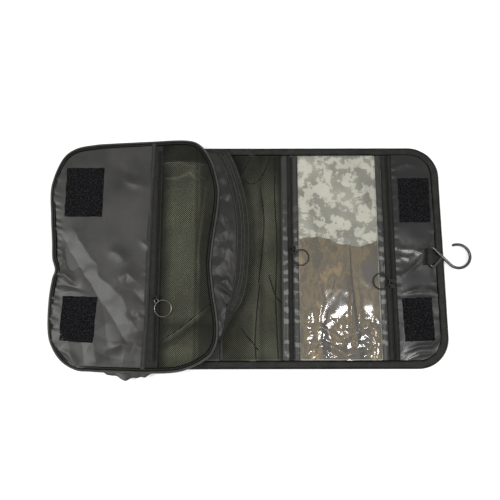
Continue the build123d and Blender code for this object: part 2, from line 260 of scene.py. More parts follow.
def tubes(name, paths, radius, mat, body=None, sides=8, closed=False, angle=60):
    verts, faces, count = [], [], 0
    for p in paths:
        v, f = tube_data(p, radius, sides, closed, count)
        verts.append(v)
        faces += f
        count += len(v)
    return make(name, np.concatenate(verts), faces, mat, body, angle)


def resample(path, step=None, count=None):
    path = np.asarray(path, float)
    seg = np.linalg.norm(np.diff(path, axis=0), axis=1)
    s = np.concatenate([[0], np.cumsum(seg)])
    n = count or max(2, int(round(s[-1] / step)) + 1)
    t = np.linspace(0, s[-1], n)
    return np.stack([np.interp(t, s, path[:, k]) for k in range(path.shape[1])], 1)


def spline(points, closed=False, per=16):
    """A Catmull-Rom curve through the points."""
    p = np.asarray(points, float)
    n = len(p)
    out = []
    for i in range(n if closed else n - 1):
        if closed:
            a, b, c, d = p[(i - 1) % n], p[i], p[(i + 1) % n], p[(i + 2) % n]
        else:
            a, b, c, d = p[max(i - 1, 0)], p[i], p[i + 1], p[min(i + 2, n - 1)]
        t = np.linspace(0, 1, per, endpoint=False)[:, None]
        out.append(
            0.5 * (2 * b + (c - a) * t + (2 * a - 5 * b + 4 * c - d) * t**2 + (3 * b - a - 3 * c + d) * t**3)
        )
    out = np.concatenate(out)
    return out if closed else np.vstack([out, p[-1]])


def stitches(name, paths, mat, body, pitch=3.0, length=2.1, width=0.5, high=0.3):
    """Rows of raised thread, one small closed lozenge per stitch."""
    verts, faces, count = [], [], 0
    shape = np.array(
        [
            (-0.5, 0, 0), (-0.3, 0.5, 0), (-0.3, 0, 1), (-0.3, -0.5, 0), (0.3, 0.5, 0), (0.3, 0, 1),
            (0.3, -0.5, 0), (0.5, 0, 0)
        ]
    )
    quads = [
        (0, 2, 1), (0, 3, 2), (0, 1, 3), (1, 2, 5, 4), (2, 3, 6, 5), (3, 1, 4, 6), (7, 4, 5), (7, 5, 6),
        (7, 6, 4)
    ]
    for path in paths:
        p = resample(path, step=pitch)
        mid, d = (p[1:] + p[:-1]) / 2, np.diff(p, axis=0)
        d /= np.linalg.norm(d, axis=1, keepdims=True)
        side = np.cross(d, (0, 0, 1.0))
        side /= np.linalg.norm(side, axis=1, keepdims=True)
        up = np.cross(side, d)
        for c, a, b, u in zip(mid, d, side, up):
            verts.append(
                c + shape[:, :1] * length * a + shape[:, 1:2] * width * b + (shape[:, 2:] * high - 0.08) * u
            )
            faces += [tuple(count + i for i in f) for f in quads]
            count += len(shape)
    return make(name, np.concatenate(verts), faces, mat, body, 80)


def net(name, inside, surface, box, mat, body, cell=2.1, radius=0.30):
    """A knitted diamond net: real strands that follow a surface, only where inside is true."""
    x0, x1, y0, y1 = box
    verts, faces, count = [], [], 0
    h = cell / 2
    for way in (1, -1):
        low = x0 - way * (y1 if way > 0 else y0)
        high = x1 - way * (y0 if way > 0 else y1)
        for c in np.arange(math.floor(min(low, high) / cell) * cell, max(low, high), cell):
            y = np.arange(y0, y1 + h / 2, h)
            x = c + way * y
            ok = (x >= x0) & (x <= x1)
            ok &= inside(x, y)
            if ok.sum() < 2:
                continue
            z = surface(x, y) + 0.07 * way * np.cos(math.pi * np.arange(len(y)))
            pts = np.stack([x, y, z], 1)
            edges = np.flatnonzero(np.diff(np.concatenate([[0], ok.astype(int), [0]])))
            for a, b in zip(edges[::2], edges[1::2]):
                if b - a < 2:
                    continue
                v, f = tube_data(pts[a:b], radius, 3, False, count)
                verts.append(v)
                faces += f
                count += len(v)
    return make(name, np.concatenate(verts), faces, mat, body, 180)


def sweep(name, path, inward, profile, mat, body=None, closed=False, ripple=0.0, seed=0):
    """A flat closed profile of (inset, height) carried along a path in plan."""
    path, inward = np.asarray(path, float), np.asarray(inward, float)
    k, m = len(path), len(profile)
    prof = np.array(profile, float)
    P = np.zeros((k, m, 3))
    P[..., :2] = path[:, None, :2] + inward[:, None, :] * prof[None, :, :1]
    base = path[:, 2] if path.shape[1] > 2 else np.zeros(k)
    P[..., 2] = base[:, None] + prof[None, :, 1]
    if ripple:
        s = np.arange(k) * 1.7
        wave = noise(s, s * 0, 9.0, seed)[:, None] * ripple
        P[..., 2] += wave * (prof[None, :, 1] > prof[:, 1].mean())
    faces = []
    for i in range(k if closed else k - 1):
        j = (i + 1) % k
        for s in range(m):
            s2 = (s + 1) % m
            faces.append((i * m + s, j * m + s, j * m + s2, i * m + s2))
    if not closed:
        faces.append(list(range(m))[::-1])
        faces.append([(k - 1) * m + s for s in range(m)])
    obj = make(name, P.reshape(-1, 3), faces, mat, None, 55)
    fix_normals(obj)
    if body:
        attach(obj, body)
    return obj


def plan_normals(path, closed=False, flip=1):
    p = np.asarray(path, float)[:, :2]
    t = np.roll(p, -1, 0) - np.roll(p, 1, 0) if closed else np.gradient(p, axis=0)
    t /= np.linalg.norm(t, axis=1, keepdims=True)
    return flip * np.stack([-t[:, 1], t[:, 0]], 1)


# ------------------------------------------------------------ materials


def nodes_of(name):
    mat = bpy.data.materials.new(name)
    mat.use_nodes = True
    tree = mat.node_tree
    return mat, tree, tree.nodes["Principled BSDF"]


def link(tree, a, b):
    tree.links.new(a, b)


def coords(tree, scale=(1, 1, 1), turn=0.0):
    tex = tree.nodes.new("ShaderNodeTexCoord")
    mp = tree.nodes.new("ShaderNodeMapping")
    mp.inputs["Scale"].default_value = scale
    mp.inputs["Rotation"].default_value = (0, 0, turn)
    link(tree, tex.outputs["Object"], mp.inputs["Vector"])
    return mp.outputs["Vector"]


def noise_node(tree, vector, scale, detail=3.0, rough=0.5):
    n = tree.nodes.new("ShaderNodeTexNoise")
    n.inputs["Scale"].default_value = scale
    n.inputs["Detail"].default_value = detail
    n.inputs["Roughness"].default_value = rough
    link(tree, vector, n.inputs["Vector"])
    return n.outputs["Fac"]


def ramp(tree, value, stops):
    r = tree.nodes.new("ShaderNodeValToRGB")
    while len(r.color_ramp.elements) < len(stops):
        r.color_ramp.elements.new(0.5)
    for e, (pos, col) in zip(r.color_ramp.elements, stops):
        e.position = pos
        e.color = (*col, 1) if len(col) == 3 else col
    link(tree, value, r.inputs["Fac"])
    return r.outputs["Color"]


def math_node(tree, op, a, b=None):
    n = tree.nodes.new("ShaderNodeMath")
    n.operation = op
    for k, v in enumerate((a, b)):
        if v is None:
            continue
        if isinstance(v, (int, float)):
            n.inputs[k].default_value = v
        else:
            link(tree, v, n.inputs[k])
    return n.outputs[0]


def weave(tree, vector, period):
    """Over-and-under threads: two crossed waves."""
    out = []
    for direction in ("X", "Y"):
        w = tree.nodes.new("ShaderNodeTexWave")
        w.wave_type = "BANDS"
        w.bands_direction = direction
        w.inputs["Scale"].default_value = 2 * math.pi / (20 * period * MM)
        w.inputs["Distortion"].default_value = 0.4
        link(tree, vector, w.inputs["Vector"])
        out.append(w.outputs["Fac"])
    return math_node(tree, "MULTIPLY", out[0], out[1])


def bump(tree, shader, height, strength, distance):
    b = tree.nodes.new("ShaderNodeBump")
    b.inputs["Strength"].default_value = strength
    b.inputs["Distance"].default_value = distance * MM
    link(tree, height, b.inputs["Height"])
    link(tree, b.outputs["Normal"], shader.inputs["Normal"])


def cloth_mat(name, dark, light, rough, period=0.8, depth=0.12, spots=9.0, sheen=0.1, spec=0.5, turn=0.0):
    mat, tree, bsdf = nodes_of(name)
    at = coords(tree, turn=turn)
    mottle = noise_node(tree, at, 1 / (spots * MM), 4.0, 0.6)
    threads = weave(tree, at, period)
    mix = math_node(
        tree, "ADD", math_node(tree, "MULTIPLY", mottle, 0.7), math_node(tree, "MULTIPLY", threads, 0.3)
    )
    col = ramp(tree, mix, [(0.25, dark), (0.7, light)])
    link(tree, col, bsdf.inputs["Base Color"])
    r = math_node(tree, "MULTIPLY_ADD", mottle, 0.16)
    r.node.inputs[2].default_value = rough - 0.08
    link(tree, r, bsdf.inputs["Roughness"])
    bsdf.inputs["Specular IOR Level"].default_value = spec
    bsdf.inputs["Sheen Weight"].default_value = sheen
    bsdf.inputs["Sheen Roughness"].default_value = 0.4
    bump(tree, bsdf, threads, 0.6, depth)
    return mat


def metal_mat(name, color, rough, metallic=1.0):
    mat, tree, bsdf = nodes_of(name)
    at = coords(tree)
    wear = noise_node(tree, at, 900.0, 5.0, 0.6)
    link(
        tree, ramp(tree, wear, [(0.3, [c * 0.75 for c in color]), (0.75, color)]), bsdf.inputs["Base Color"]
    )
    bsdf.inputs["Metallic"].default_value = metallic
    r = math_node(tree, "MULTIPLY_ADD", wear, 0.18)
    r.node.inputs[2].default_value = rough
    link(tree, r, bsdf.inputs["Roughness"])
    bump(tree, bsdf, noise_node(tree, at, 2500.0, 3.0), 0.15, 0.02)
    return mat


NYLON = cloth_mat(
    "nylon", (0.0055, 0.0052, 0.0042), (0.027, 0.0258, 0.0222), 0.36, 0.9, 0.05, 30.0, 0.03, 0.38
)
# a darker, warmer copy of the nylon for the gusset band: painted shade for the band under the lid's edge
GUSSET_SHADED_NYLON = cloth_mat(
    "gusset", (0.002, 0.002, 0.0015), (0.014, 0.0128, 0.0085), 0.36, 0.9, 0.05, 16.0, 0.02, 0.32
)
STRIP = cloth_mat("strip", (0.010, 0.010, 0.008), (0.030, 0.030, 0.025), 0.55, 0.7, 0.1, 8.0, 0.02, 0.2)
BIND = cloth_mat("binding", (0.003, 0.003, 0.0025), (0.020, 0.020, 0.017), 0.55, 1.1, 0.14, 9.0, 0.02, 0.18)
PIPE = cloth_mat("piping", (0.012, 0.012, 0.010), (0.038, 0.038, 0.032), 0.45, 0.9, 0.1, 10.0, 0.02, 0.3)
THREAD = cloth_mat("thread", (0.001, 0.001, 0.001), (0.004, 0.004, 0.0035), 0.7, 0.5, 0.05, 3.0, 0.0, 0.05)
PALE_THREAD = cloth_mat(
    "pale_thread", (0.06, 0.06, 0.05), (0.12, 0.12, 0.10), 0.6, 0.5, 0.05, 3.0, 0.0, 0.2
)
LINING = cloth_mat("lining", (0.05, 0.05, 0.047), (0.09, 0.09, 0.085), 0.6, 0.9, 0.08, 20.0)
TAPE = cloth_mat("zip_tape", (0.005, 0.005, 0.004), (0.020, 0.020, 0.016), 0.6, 1.0, 0.16, 5.0, 0.02, 0.16)
NET = cloth_mat("net", (0.003, 0.003, 0.0025), (0.012, 0.012, 0.010), 0.5, 0.6, 0.05, 4.0, 0.0, 0.12)
BLACK = cloth_mat(
    "coil_black", (0.003, 0.003, 0.003), (0.010, 0.010, 0.009), 0.4, 0.7, 0.05, 3.0, 0.0, 0.25
)
# dark sheets along the card's creases: painted shade
SHADE = cloth_mat("crease_shade_sheet", (0.05, 0.045, 0.04), (0.09, 0.08, 0.07), 0.5, 0.8, 0.05, 6.0, 0.0, 0.2)
HOOK = metal_mat("hook_metal", (0.075, 0.072, 0.068), 0.15)
# the lid's ring is painted a lighter colour than the ring_dark_metal of the other two rings: a painted
# highlight
RING = metal_mat("ring_metal", (0.13, 0.126, 0.117), 0.15)
SLIDER = metal_mat("slider_metal", (0.016, 0.016, 0.015), 0.28)
RING_DARK = metal_mat("ring_dark_metal", (0.035, 0.034, 0.031), 0.22)


def sheen_nylon_mat():
    """Dark nylon with patches of lower roughness that are also painted a lighter colour: painted sheen where
    its coating would shine.
    """
    mat, tree, bsdf = nodes_of("nylon_flap")
    at = coords(tree)
    blotch = noise_node(tree, at, 75.0, 6.0, 0.62)
    split = tree.nodes.new("ShaderNodeSeparateXYZ")
    link(tree, at, split.inputs["Vector"])
    along = math_node(tree, "MULTIPLY_ADD", split.outputs["Y"], 4.0)
    along.node.inputs[2].default_value = 0.5
    off, on = (0.0, 0.0, 0.0), (1.0, 1.0, 1.0)
    painted_sheen_zone = ramp(
        tree, along,
        [
            (0.03, on), (0.09, on), (0.12, off), (0.315, off), (0.33, on), (0.355, on), (0.375, off),
            (0.42, off), (0.46, on), (0.55, on), (0.575, off)
        ],
    )
    painted_highlight_mask = math_node(tree, "MULTIPLY", ramp(tree, blotch, [(0.47, off), (0.53, on)]), painted_sheen_zone)
    # painted sheen: the patches get a lighter base colour
    tint = tree.nodes.new("ShaderNodeMix")
    tint.data_type = "RGBA"
    tint.inputs["A"].default_value = (0.004, 0.004, 0.0036, 1)
    tint.inputs["B"].default_value = (0.022, 0.022, 0.020, 1)
    link(tree, painted_highlight_mask, tint.inputs["Factor"])
    link(tree, tint.outputs["Result"], bsdf.inputs["Base Color"])
    rough = math_node(tree, "MULTIPLY_ADD", painted_highlight_mask, -0.14)
    rough.node.inputs[2].default_value = 0.32
    link(tree, rough, bsdf.inputs["Roughness"])
    bsdf.inputs["Specular IOR Level"].default_value = 0.32
    bump(tree, bsdf, weave(tree, at, 0.9), 0.5, 0.05)
    return mat


NYLON_DARK = sheen_nylon_mat()


def fuzz_mat():
    """Black hook-and-loop tape: dark ground with paler tufts."""
    mat, tree, bsdf = nodes_of("hook_and_loop")
    at = coords(tree)
    tufts = noise_node(tree, at, 760.0, 2.0, 0.6)
    ground, tip = (0.0015, 0.0015, 0.0017), (0.024, 0.0245, 0.027)
    link(tree, ramp(tree, tufts, [(0.46, ground), (0.72, tip)]), bsdf.inputs["Base Color"])
    bsdf.inputs["Roughness"].default_value = 0.8
    bsdf.inputs["Specular IOR Level"].default_value = 0.05
    bump(tree, bsdf, tufts, 0.6, 0.25)
    return mat


FUZZ = fuzz_mat()


def band_mat():
    """Narrow coated bands: dark, with painted highlights: small light squares for glints where they ripple,
    fading out towards +Y.
    """
    mat, tree, bsdf = nodes_of("nylon_band")
    at = coords(tree)
    wave = tree.nodes.new("ShaderNodeTexWave")
    wave.bands_direction = "Y"
    wave.inputs["Scale"].default_value = 2 * math.pi / (20 * 11 * MM)
    wave.inputs["Distortion"].default_value = 5.0
    wave.inputs["Detail"].default_value = 3.0
    wave.inputs["Detail Scale"].default_value = 2.2
    link(tree, at, wave.inputs["Vector"])
    off, on = (0.0, 0.0, 0.0), (1.0, 1.0, 1.0)
    painted_glint_squares = ramp(tree, wave.outputs["Fac"], [(0.60, off), (0.70, on)])
    some = ramp(tree, noise_node(tree, at, 90.0, 3.0, 0.6), [(0.44, off), (0.50, on)])
    painted_highlight_mask = math_node(tree, "MULTIPLY", painted_glint_squares, some)
    split = tree.nodes.new("ShaderNodeSeparateXYZ")
    link(tree, at, split.inputs["Vector"])
    lower = math_node(tree, "MULTIPLY_ADD", split.outputs["Y"], -14.0)
    lower.node.inputs[2].default_value = 0.95
    lower.node.use_clamp = True
    painted_highlight_mask = math_node(tree, "MULTIPLY", painted_highlight_mask, lower)
    # painted highlights: the light colour of the glints
    tint = tree.nodes.new("ShaderNodeMix")
    tint.data_type = "RGBA"
    tint.inputs["A"].default_value = (0.014, 0.014, 0.012, 1)
    tint.inputs["B"].default_value = (0.10, 0.10, 0.093, 1)
    link(tree, painted_highlight_mask, tint.inputs["Factor"])
    link(tree, tint.outputs["Result"], bsdf.inputs["Base Color"])
    bsdf.inputs["Roughness"].default_value = 0.38
    bsdf.inputs["Specular IOR Level"].default_value = 0.35
    bump(tree, bsdf, weave(tree, at, 0.9), 0.5, 0.05)
    return mat


NYLON_BAND = band_mat()


def painted_shade_olive(name, x_scale, x_off, x_shade_stops, y_shade_stops, top):
    """Olive lining with painted shade: ramps along X and Y darken it where it lies further from the net over
    it, and a noise varies it at random.
    """
    mat, tree, bsdf = nodes_of(name)
    at = coords(tree)
    split = tree.nodes.new("ShaderNodeSeparateXYZ")
    link(tree, at, split.inputs["Vector"])
    along_x = math_node(tree, "MULTIPLY_ADD", split.outputs["X"], x_scale)
    along_x.node.inputs[2].default_value = x_off
    along_y = math_node(tree, "MULTIPLY_ADD", split.outputs["Y"], 4.0)
    along_y.node.inputs[2].default_value = 0.5
    painted_shade_tone = math_node(
        tree, "MULTIPLY",
        ramp(tree, along_x, [(k, (v, v, v)) for k, v in x_shade_stops]),
        ramp(tree, along_y, [(k, (v, v, v)) for k, v in y_shade_stops]),
    )
    cloud = noise_node(tree, at, 34.0, 4.0, 0.6)
    painted_shade_tone = math_node(
        tree, "MULTIPLY", painted_shade_tone, math_node(tree, "ADD", math_node(tree, "MULTIPLY", cloud, 1.1), 0.45)
    )
    tint = tree.nodes.new("ShaderNodeMix")
    tint.data_type = "RGBA"
    tint.inputs["A"].default_value = (0.010, 0.010, 0.007, 1)
    tint.inputs["B"].default_value = top
    link(tree, painted_shade_tone, tint.inputs["Factor"])
    link(tree, tint.outputs["Result"], bsdf.inputs["Base Color"])
    bsdf.inputs["Roughness"].default_value = 0.6
    bsdf.inputs["Specular IOR Level"].default_value = 0.2
    bump(tree, bsdf, weave(tree, at, 1.0), 0.5, 0.06)
    return mat


# painted shade: the lid's lining is darker along the zipper, over its right part, in a band near the bottom and
# towards its ends
OLIVE_LID = painted_shade_olive(
    "olive_lid", 1 / 0.07, 0.112 / 0.07,
    [
        (0.04, 0.08), (0.12, 0.22), (0.25, 1.0), (0.56, 1.0), (0.595, 0.5), (0.63, 0.75), (0.67, 0.36),
        (0.80, 0.34), (0.95, 0.5)
    ],
    [
        (0.03, 0.5), (0.10, 1.0), (0.16, 0.55), (0.20, 0.45), (0.235, 1.0), (0.77, 1.0), (0.82, 0.7),
        (0.875, 0.65), (0.90, 0.15)
    ],
    (0.238, 0.245, 0.168, 1),
)
# painted shade: the spine's lining is darker towards its sides and ends
OLIVE_SPINE = painted_shade_olive(
    "olive_spine", 1 / 0.07, 0.047 / 0.07,
    [
        (0.05, 0.4), (0.3, 0.5), (0.42, 0.9), (0.58, 1.0), (0.64, 0.6), (0.72, 1.0), (0.88, 0.95),
        (0.94, 0.2)
    ],
    [
        (0.03, 0.4), (0.08, 1.0), (0.38, 0.85), (0.50, 0.75), (0.62, 1.0), (0.74, 0.95), (0.84, 0.38),
        (0.93, 0.22)
    ],
    (0.150, 0.154, 0.105, 1),
)


def card_mat():
    """Brown paper seen through the film. A noise paints lighter and darker patches into its colour: partly the
    paper's own changing hue, partly painted shade for its wrinkles.
    """
    mat, tree, bsdf = nodes_of("liner_card")
    at = coords(tree, (1.0, 0.55, 1.0))
    cloud = noise_node(tree, at, 42.0, 5.0, 0.62)
    col = ramp(
        tree, cloud,
        [
            (0.36, (0.085, 0.075, 0.070)), (0.455, (0.105, 0.084, 0.052)), (0.50, (0.185, 0.138, 0.070)),
            (0.56, (0.105, 0.088, 0.060)), (0.64, (0.280, 0.200, 0.100))
        ],
    )
    link(tree, col, bsdf.inputs["Base Color"])
    bsdf.inputs["Roughness"].default_value = 0.5
    bsdf.inputs["Specular IOR Level"].default_value = 0.3
    bump(tree, bsdf, noise_node(tree, at, 240.0, 4.0, 0.6), 0.25, 0.2)
    return mat


CARD = card_mat()


def window_backing_mat():
    """Light cloth. Its grey blotches are painted reflection: the film's changed look where it clings to the
    cloth. A broader noise makes it lighter and darker in large soft areas.
    """
    mat, tree, bsdf = nodes_of("pocket_lining")
    at = coords(tree)
    blotch = noise_node(tree, at, 78.0, 8.0, 0.72)
    cloud = noise_node(tree, at, 24.0, 2.0, 0.5)
    spots = ramp(tree, blotch, [(0.485, (0.0, 0.0, 0.0)), (0.515, (1.0, 1.0, 1.0))])
    total = math_node(
        tree, "ADD", math_node(tree, "MULTIPLY", spots, 0.45), math_node(tree, "MULTIPLY", cloud, 0.6)
    )
    col = ramp(
        tree, total,
        [
            (0.16, (0.16, 0.16, 0.135)), (0.38, (0.34, 0.335, 0.29)), (0.56, (0.40, 0.395, 0.345)),
            (0.74, (0.54, 0.535, 0.475))
        ]
    )
    link(tree, col, bsdf.inputs["Base Color"])
    bsdf.inputs["Roughness"].default_value = 0.6
    bump(tree, bsdf, weave(tree, at, 0.8), 0.3, 0.05)
    return mat


def film_mat():
    """Clear film: see-through, with sharp highlights on its creases."""
    mat, tree, bsdf = nodes_of("window_film")
    out = tree.nodes["Material Output"]
    tree.nodes.remove(bsdf)
    clear = tree.nodes.new("ShaderNodeBsdfTransparent")
    clear.inputs["Color"].default_value = (0.94, 0.94, 0.92, 1)
    gloss = tree.nodes.new("ShaderNodeBsdfGlossy")
    gloss.inputs["Roughness"].default_value = 0.10
    gloss.inputs["Color"].default_value = (1, 1, 1, 1)
    edge = tree.nodes.new("ShaderNodeFresnel")
    edge.inputs["IOR"].default_value = 1.55
    mix = tree.nodes.new("ShaderNodeMixShader")
    at = coords(tree)
    fine = tree.nodes.new("ShaderNodeBump")
    fine.inputs["Strength"].default_value = 0.18
    fine.inputs["Distance"].default_value = 0.08 * MM
    link(tree, noise_node(tree, at, 160.0, 3.0, 0.55), fine.inputs["Height"])
    link(tree, fine.outputs["Normal"], gloss.inputs["Normal"])
    link(tree, fine.outputs["Normal"], edge.inputs["Normal"])
    link(tree, edge.outputs["Fac"], mix.inputs["Fac"])
    link(tree, clear.outputs["BSDF"], mix.inputs[1])
    link(tree, gloss.outputs["BSDF"], mix.inputs[2])
    link(tree, mix.outputs["Shader"], out.inputs["Surface"])
    return mat


POCKET = window_backing_mat()
FILM = film_mat()

# ------------------------------------------------------------ lid outline
# The outline of the sagging lid, as control points in millimetres. A scratch program made them from
# positions read off the reference, and they were rounded to 0.5 mm. The outline remains an open failure.

MIDX = (LEFT + LID_RIGHT) / 2
OUTLINE = spline(
    [
        (LEFT + 7.5, 100.0), (LEFT - 2.0, 71.0), (LEFT - 0.5, 39.5), (LEFT + 2.0, 13.0),
        (LEFT + 3.5, -6.0), (LEFT + 7.0, -18.0), (LEFT + 4.5, -28.0), (LEFT + 2.5, -49.0),
        (LEFT + 3.0, -76.5), (LEFT + 7.0, -94.0), (LEFT + 18.0, -110.0), (LEFT + 33.5, -119.0),
        (LEFT + 48.5, -120.5), (LEFT + 68.5, -121.5), (LEFT + 108.5, -122.5), (LEFT + 133.0, -121.5),
        (LEFT + 148.0, -117.5), (LID_RIGHT - 13.5, -112.0), (LID_RIGHT - 4.0, -105.0), (LID_RIGHT + 2.0, -93.5),
        (LID_RIGHT + 3.5, -80.5), (LID_RIGHT + 2.0, -62.5), (LID_RIGHT - 1.5, -41.5), (LID_RIGHT - 4.0, -18.5),
        (LID_RIGHT - 4.0, -6.0), (LID_RIGHT - 1.5, 18.0), (LID_RIGHT + 2.0, 41.5), (LID_RIGHT + 3.5, 60.0),
        (LID_RIGHT + 2.5, 73.0), (LID_RIGHT - 3.0, 94.0), (LID_RIGHT - 10.5, 108.5), (LID_RIGHT - 19.5, 118.0),
        (LID_RIGHT - 29.0, 121.5), (LID_RIGHT - 45.0, 122.0), (LID_RIGHT - 72.0, 120.5), (LEFT + 60.0, 118.5),
        (LEFT + 42.0, 117.0), (LEFT + 21.5, 112.5),
    ],
    closed=True,
    per=14,
)
OUTLINE = resample(np.vstack([OUTLINE, OUTLINE[:1]]), count=901)[:-1]
OUT_IN = plan_normals(OUTLINE, closed=True, flip=1)
if ((OUTLINE + OUT_IN * 5 - (MIDX, 0)) ** 2).sum() > ((OUTLINE - (MIDX, 0)) ** 2).sum():
    OUT_IN = -OUT_IN


def outline_at(inset):
    return OUTLINE + OUT_IN * inset


HUG_ANGLE = np.radians(np.linspace(80, 280, 201))


def polar_radius(curve, centre):
    """Distance from the centre to a closed curve, at each of the HUG_ANGLE directions."""
    d = curve - centre
    angle = np.arctan2(d[:, 1], d[:, 0]) % (2 * math.pi)
    order = np.argsort(angle)
    return np.interp(HUG_ANGLE, angle[order], np.hypot(d[order, 0], d[order, 1]))


def rounded_corner(x_left, half, r):
    a = np.radians(np.linspace(90, 180, 40))
    arc = np.stack([x_left + r + r * np.cos(a), half - r + r * np.sin(a)], 1)
    top = np.stack([np.linspace(0, x_left + r, 60), np.full(60, half)], 1)
    side = np.stack([np.full(60, x_left), np.linspace(half - r, 0, 60)], 1)
    upper = np.concatenate([top, arc[1:], side[1:]])
    return np.concatenate([upper, upper[::-1][1:] * (1, -1)])


CENTRE = np.array([MIDX, 0.0])
HUG = np.minimum(
    1.0,
    polar_radius(outline_at(3.4), CENTRE) / polar_radius(rounded_corner(LEFT, HALF, BASE_CORNER), CENTRE)
)


def hug(x, y):
    """Pulls the back's edge in under the sagging lid, so that it doesn't peep out on the left."""
    dx, dy = x - CENTRE[0], y - CENTRE[1]
    angle = np.arctan2(dy, dx) % (2 * math.pi)
    scale = 1 + (
        (np.interp(angle, HUG_ANGLE, HUG) - 1) * smooth((-100 - x) / 30) * smooth(np.hypot(dx, dy) / 60)
    )
    return CENTRE[0] + dx * scale, CENTRE[1] + dy * scale


def between(curve, a, b):
    """The stretch of a closed curve from the point nearest a to the point nearest b, going forward."""
    i = int(np.argmin(((curve - a) ** 2).sum(1)))
    j = int(np.argmin(((curve - b) ** 2).sum(1)))
    if j < i:
        j += len(curve)
    return curve[np.arange(i, j + 1) % len(curve)]


def coons(left, right, low, high, n, m):
    """Fills four boundary curves. left and right run from low to high, low and high from left to right."""
    L, R = resample(left, count=m), resample(right, count=m)
    B, T = resample(low, count=n), resample(high, count=n)
    u = np.linspace(0, 1, n)[:, None, None]
    v = np.linspace(0, 1, m)[None, :, None]
    ruled_u = (1 - u) * L[None] + u * R[None]
    ruled_v = (1 - v) * B[:, None] + v * T[:, None]
    corners = (1 - u) * (1 - v) * B[0] + u * (1 - v) * B[-1] + (1 - u) * v * T[0] + u * v * T[-1]
    return ruled_u + ruled_v - corners


inner = outline_at(2.6)
SEAM_TOP, SEAM_LOW = np.array([-117.6, 119.0]), np.array([-122.4, -119.6])
STRIP_WIDE = 3.2
BL, TL = np.array([LEFT + 12.0, -103.0]), np.array([LEFT + 13.5, 106.0])
BR, TR = np.array([LID_RIGHT - 6.0, -107.0]), np.array([LID_RIGHT - 13.5, 110.0])


def nearest(curve, p):
    return curve[int(np.argmin(((curve - p) ** 2).sum(1)))]


# ------------------------------------------------------------ lid: nylon half


def lid_nylon_height(x, y):
    z = np.full(np.shape(x), LID_TOP - 0.2)
    z = z + 0.9 * fbm(x, y, 60, 3, 2) * 0.8
    sway_x, sway_y = x + 3.0 * fbm(x, y, 24, 31, 3), y + 3.0 * fbm(x, y, 24, 36, 3)
    z = z + facet(sway_x, sway_y, (-203, 22), (-128, -92), 16.0, 1.75)
    z = z + crease(x, y, [(-204, 0), (-200, -9), (-195, -20)], 3.4, -1.3)
    z = z + crease(x, y, [(-210, 4), (-207, -8), (-212, -18)], 2.4, 0.9)
    z = z + crease(x, y, [(-215, -22), (-205, -23), (-194, -32)], 2.8, 1.4)
    z = z + crease(x, y, [(-214, -28), (-204, -33), (-188, -38)], 3.0, -1.0)
    z = z + crease(x, y, [(-208, -42), (-196, -40), (-180, -44)], 3.0, 0.6)
    z = z + crease(x, y, [(-150, -28), (-139, -22), (-128, -33), (-119, -42)], 5.0, 1.5)
    z = z + crease(x, y, [(-146, -36), (-134, -40), (-124, -50)], 6.0, -1.3)
    z = z + crease(x, y, [(-160, 2), (-150, -2), (-142, -10)], 5.5, 0.9)
    z = z + crease(x, y, [(-150, 82), (-138, 74), (-122, 70)], 5.0, 1.2)
    z = z + crease(x, y, [(-157, 95), (-146, 84), (-130, 80)], 7.0, -0.8)
    z = z + crease(x, y, [(-127, 12), (-120, 6), (-114, 6)], 3.0, 0.8)
    z = z + crease(x, y, [(-155, -98), (-143, -93), (-132, -97)], 5.0, 1.3)
    z = z + crease(x, y, [(-206, -98), (-196, -103), (-186, -115)], 4.0, 1.1)
    z = z + crease(x, y, [(-178, -96), (-160, -105), (-140, -108)], 6.0, -0.9)
    z = z + crease(x, y, [(-139, -60), (-133, -66), (-127, -64)], 4.0, -1.0)
    z = z + 1.7 * (crumple(x, y, 23, 43) - 0.5) * smooth((-4 - y) / 30) * smooth((y + 117) / 8)
    # puckers along the left and right seams
    edge = np.interp(y, LEFT_EDGE[:, 1], LEFT_EDGE[:, 0])
    d = x - edge
    wave = noise(y * 1.0 + 0.25 * x, x * 0.15, 3.6, 41) + 0.5 * noise(y, x * 0.2, 7.0, 44)
    amount = np.interp(y, [-118, -100, -60, 0, 50, 75, 110], [0.5, 1.0, 1.2, 1.3, 1.2, 0.5, 0.15])
    z = z + 0.5 * amount * wave * smooth(1 - d / 13.0)
    seam = SEAM_LOW[0] + (SEAM_TOP[0] - SEAM_LOW[0]) * (y + 120) / 240
    d2 = seam - x
    z = z + 0.38 * noise(y + 0.3 * x, x * 0.1, 4.2, 51) * smooth(1 - d2 / 9.0) * smooth((30 - y) / 60)
    # sewn down under the piping along the left edge
    z = z - 0.5 * smooth(1 - d / 2.5)
    return np.maximum(z, LID_LOW + 1.35)


left_part = between(inner, TL, BL)
LEFT_EDGE = left_part[np.argsort(left_part[:, 1])]
keep = np.concatenate([[True], np.diff(LEFT_EDGE[:, 1]) > 1e-6])
LEFT_EDGE = LEFT_EDGE[keep]
low_side = between(inner, BL, nearest(inner, SEAM_LOW))
high_side = between(inner, nearest(inner, SEAM_TOP), TL)[::-1]
seam_side = np.stack([nearest(inner, SEAM_LOW), nearest(inner, SEAM_TOP)])
XY = coons(left_part[::-1], resample(seam_side, count=50), low_side, high_side, 150, 330)
P = np.concatenate([XY, lid_nylon_height(XY[..., 0], XY[..., 1])[..., None]], 2)
lid_nylon = cloth("lid_nylon", P, 0.7, NYLON, "lid")
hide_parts("lid_panel")

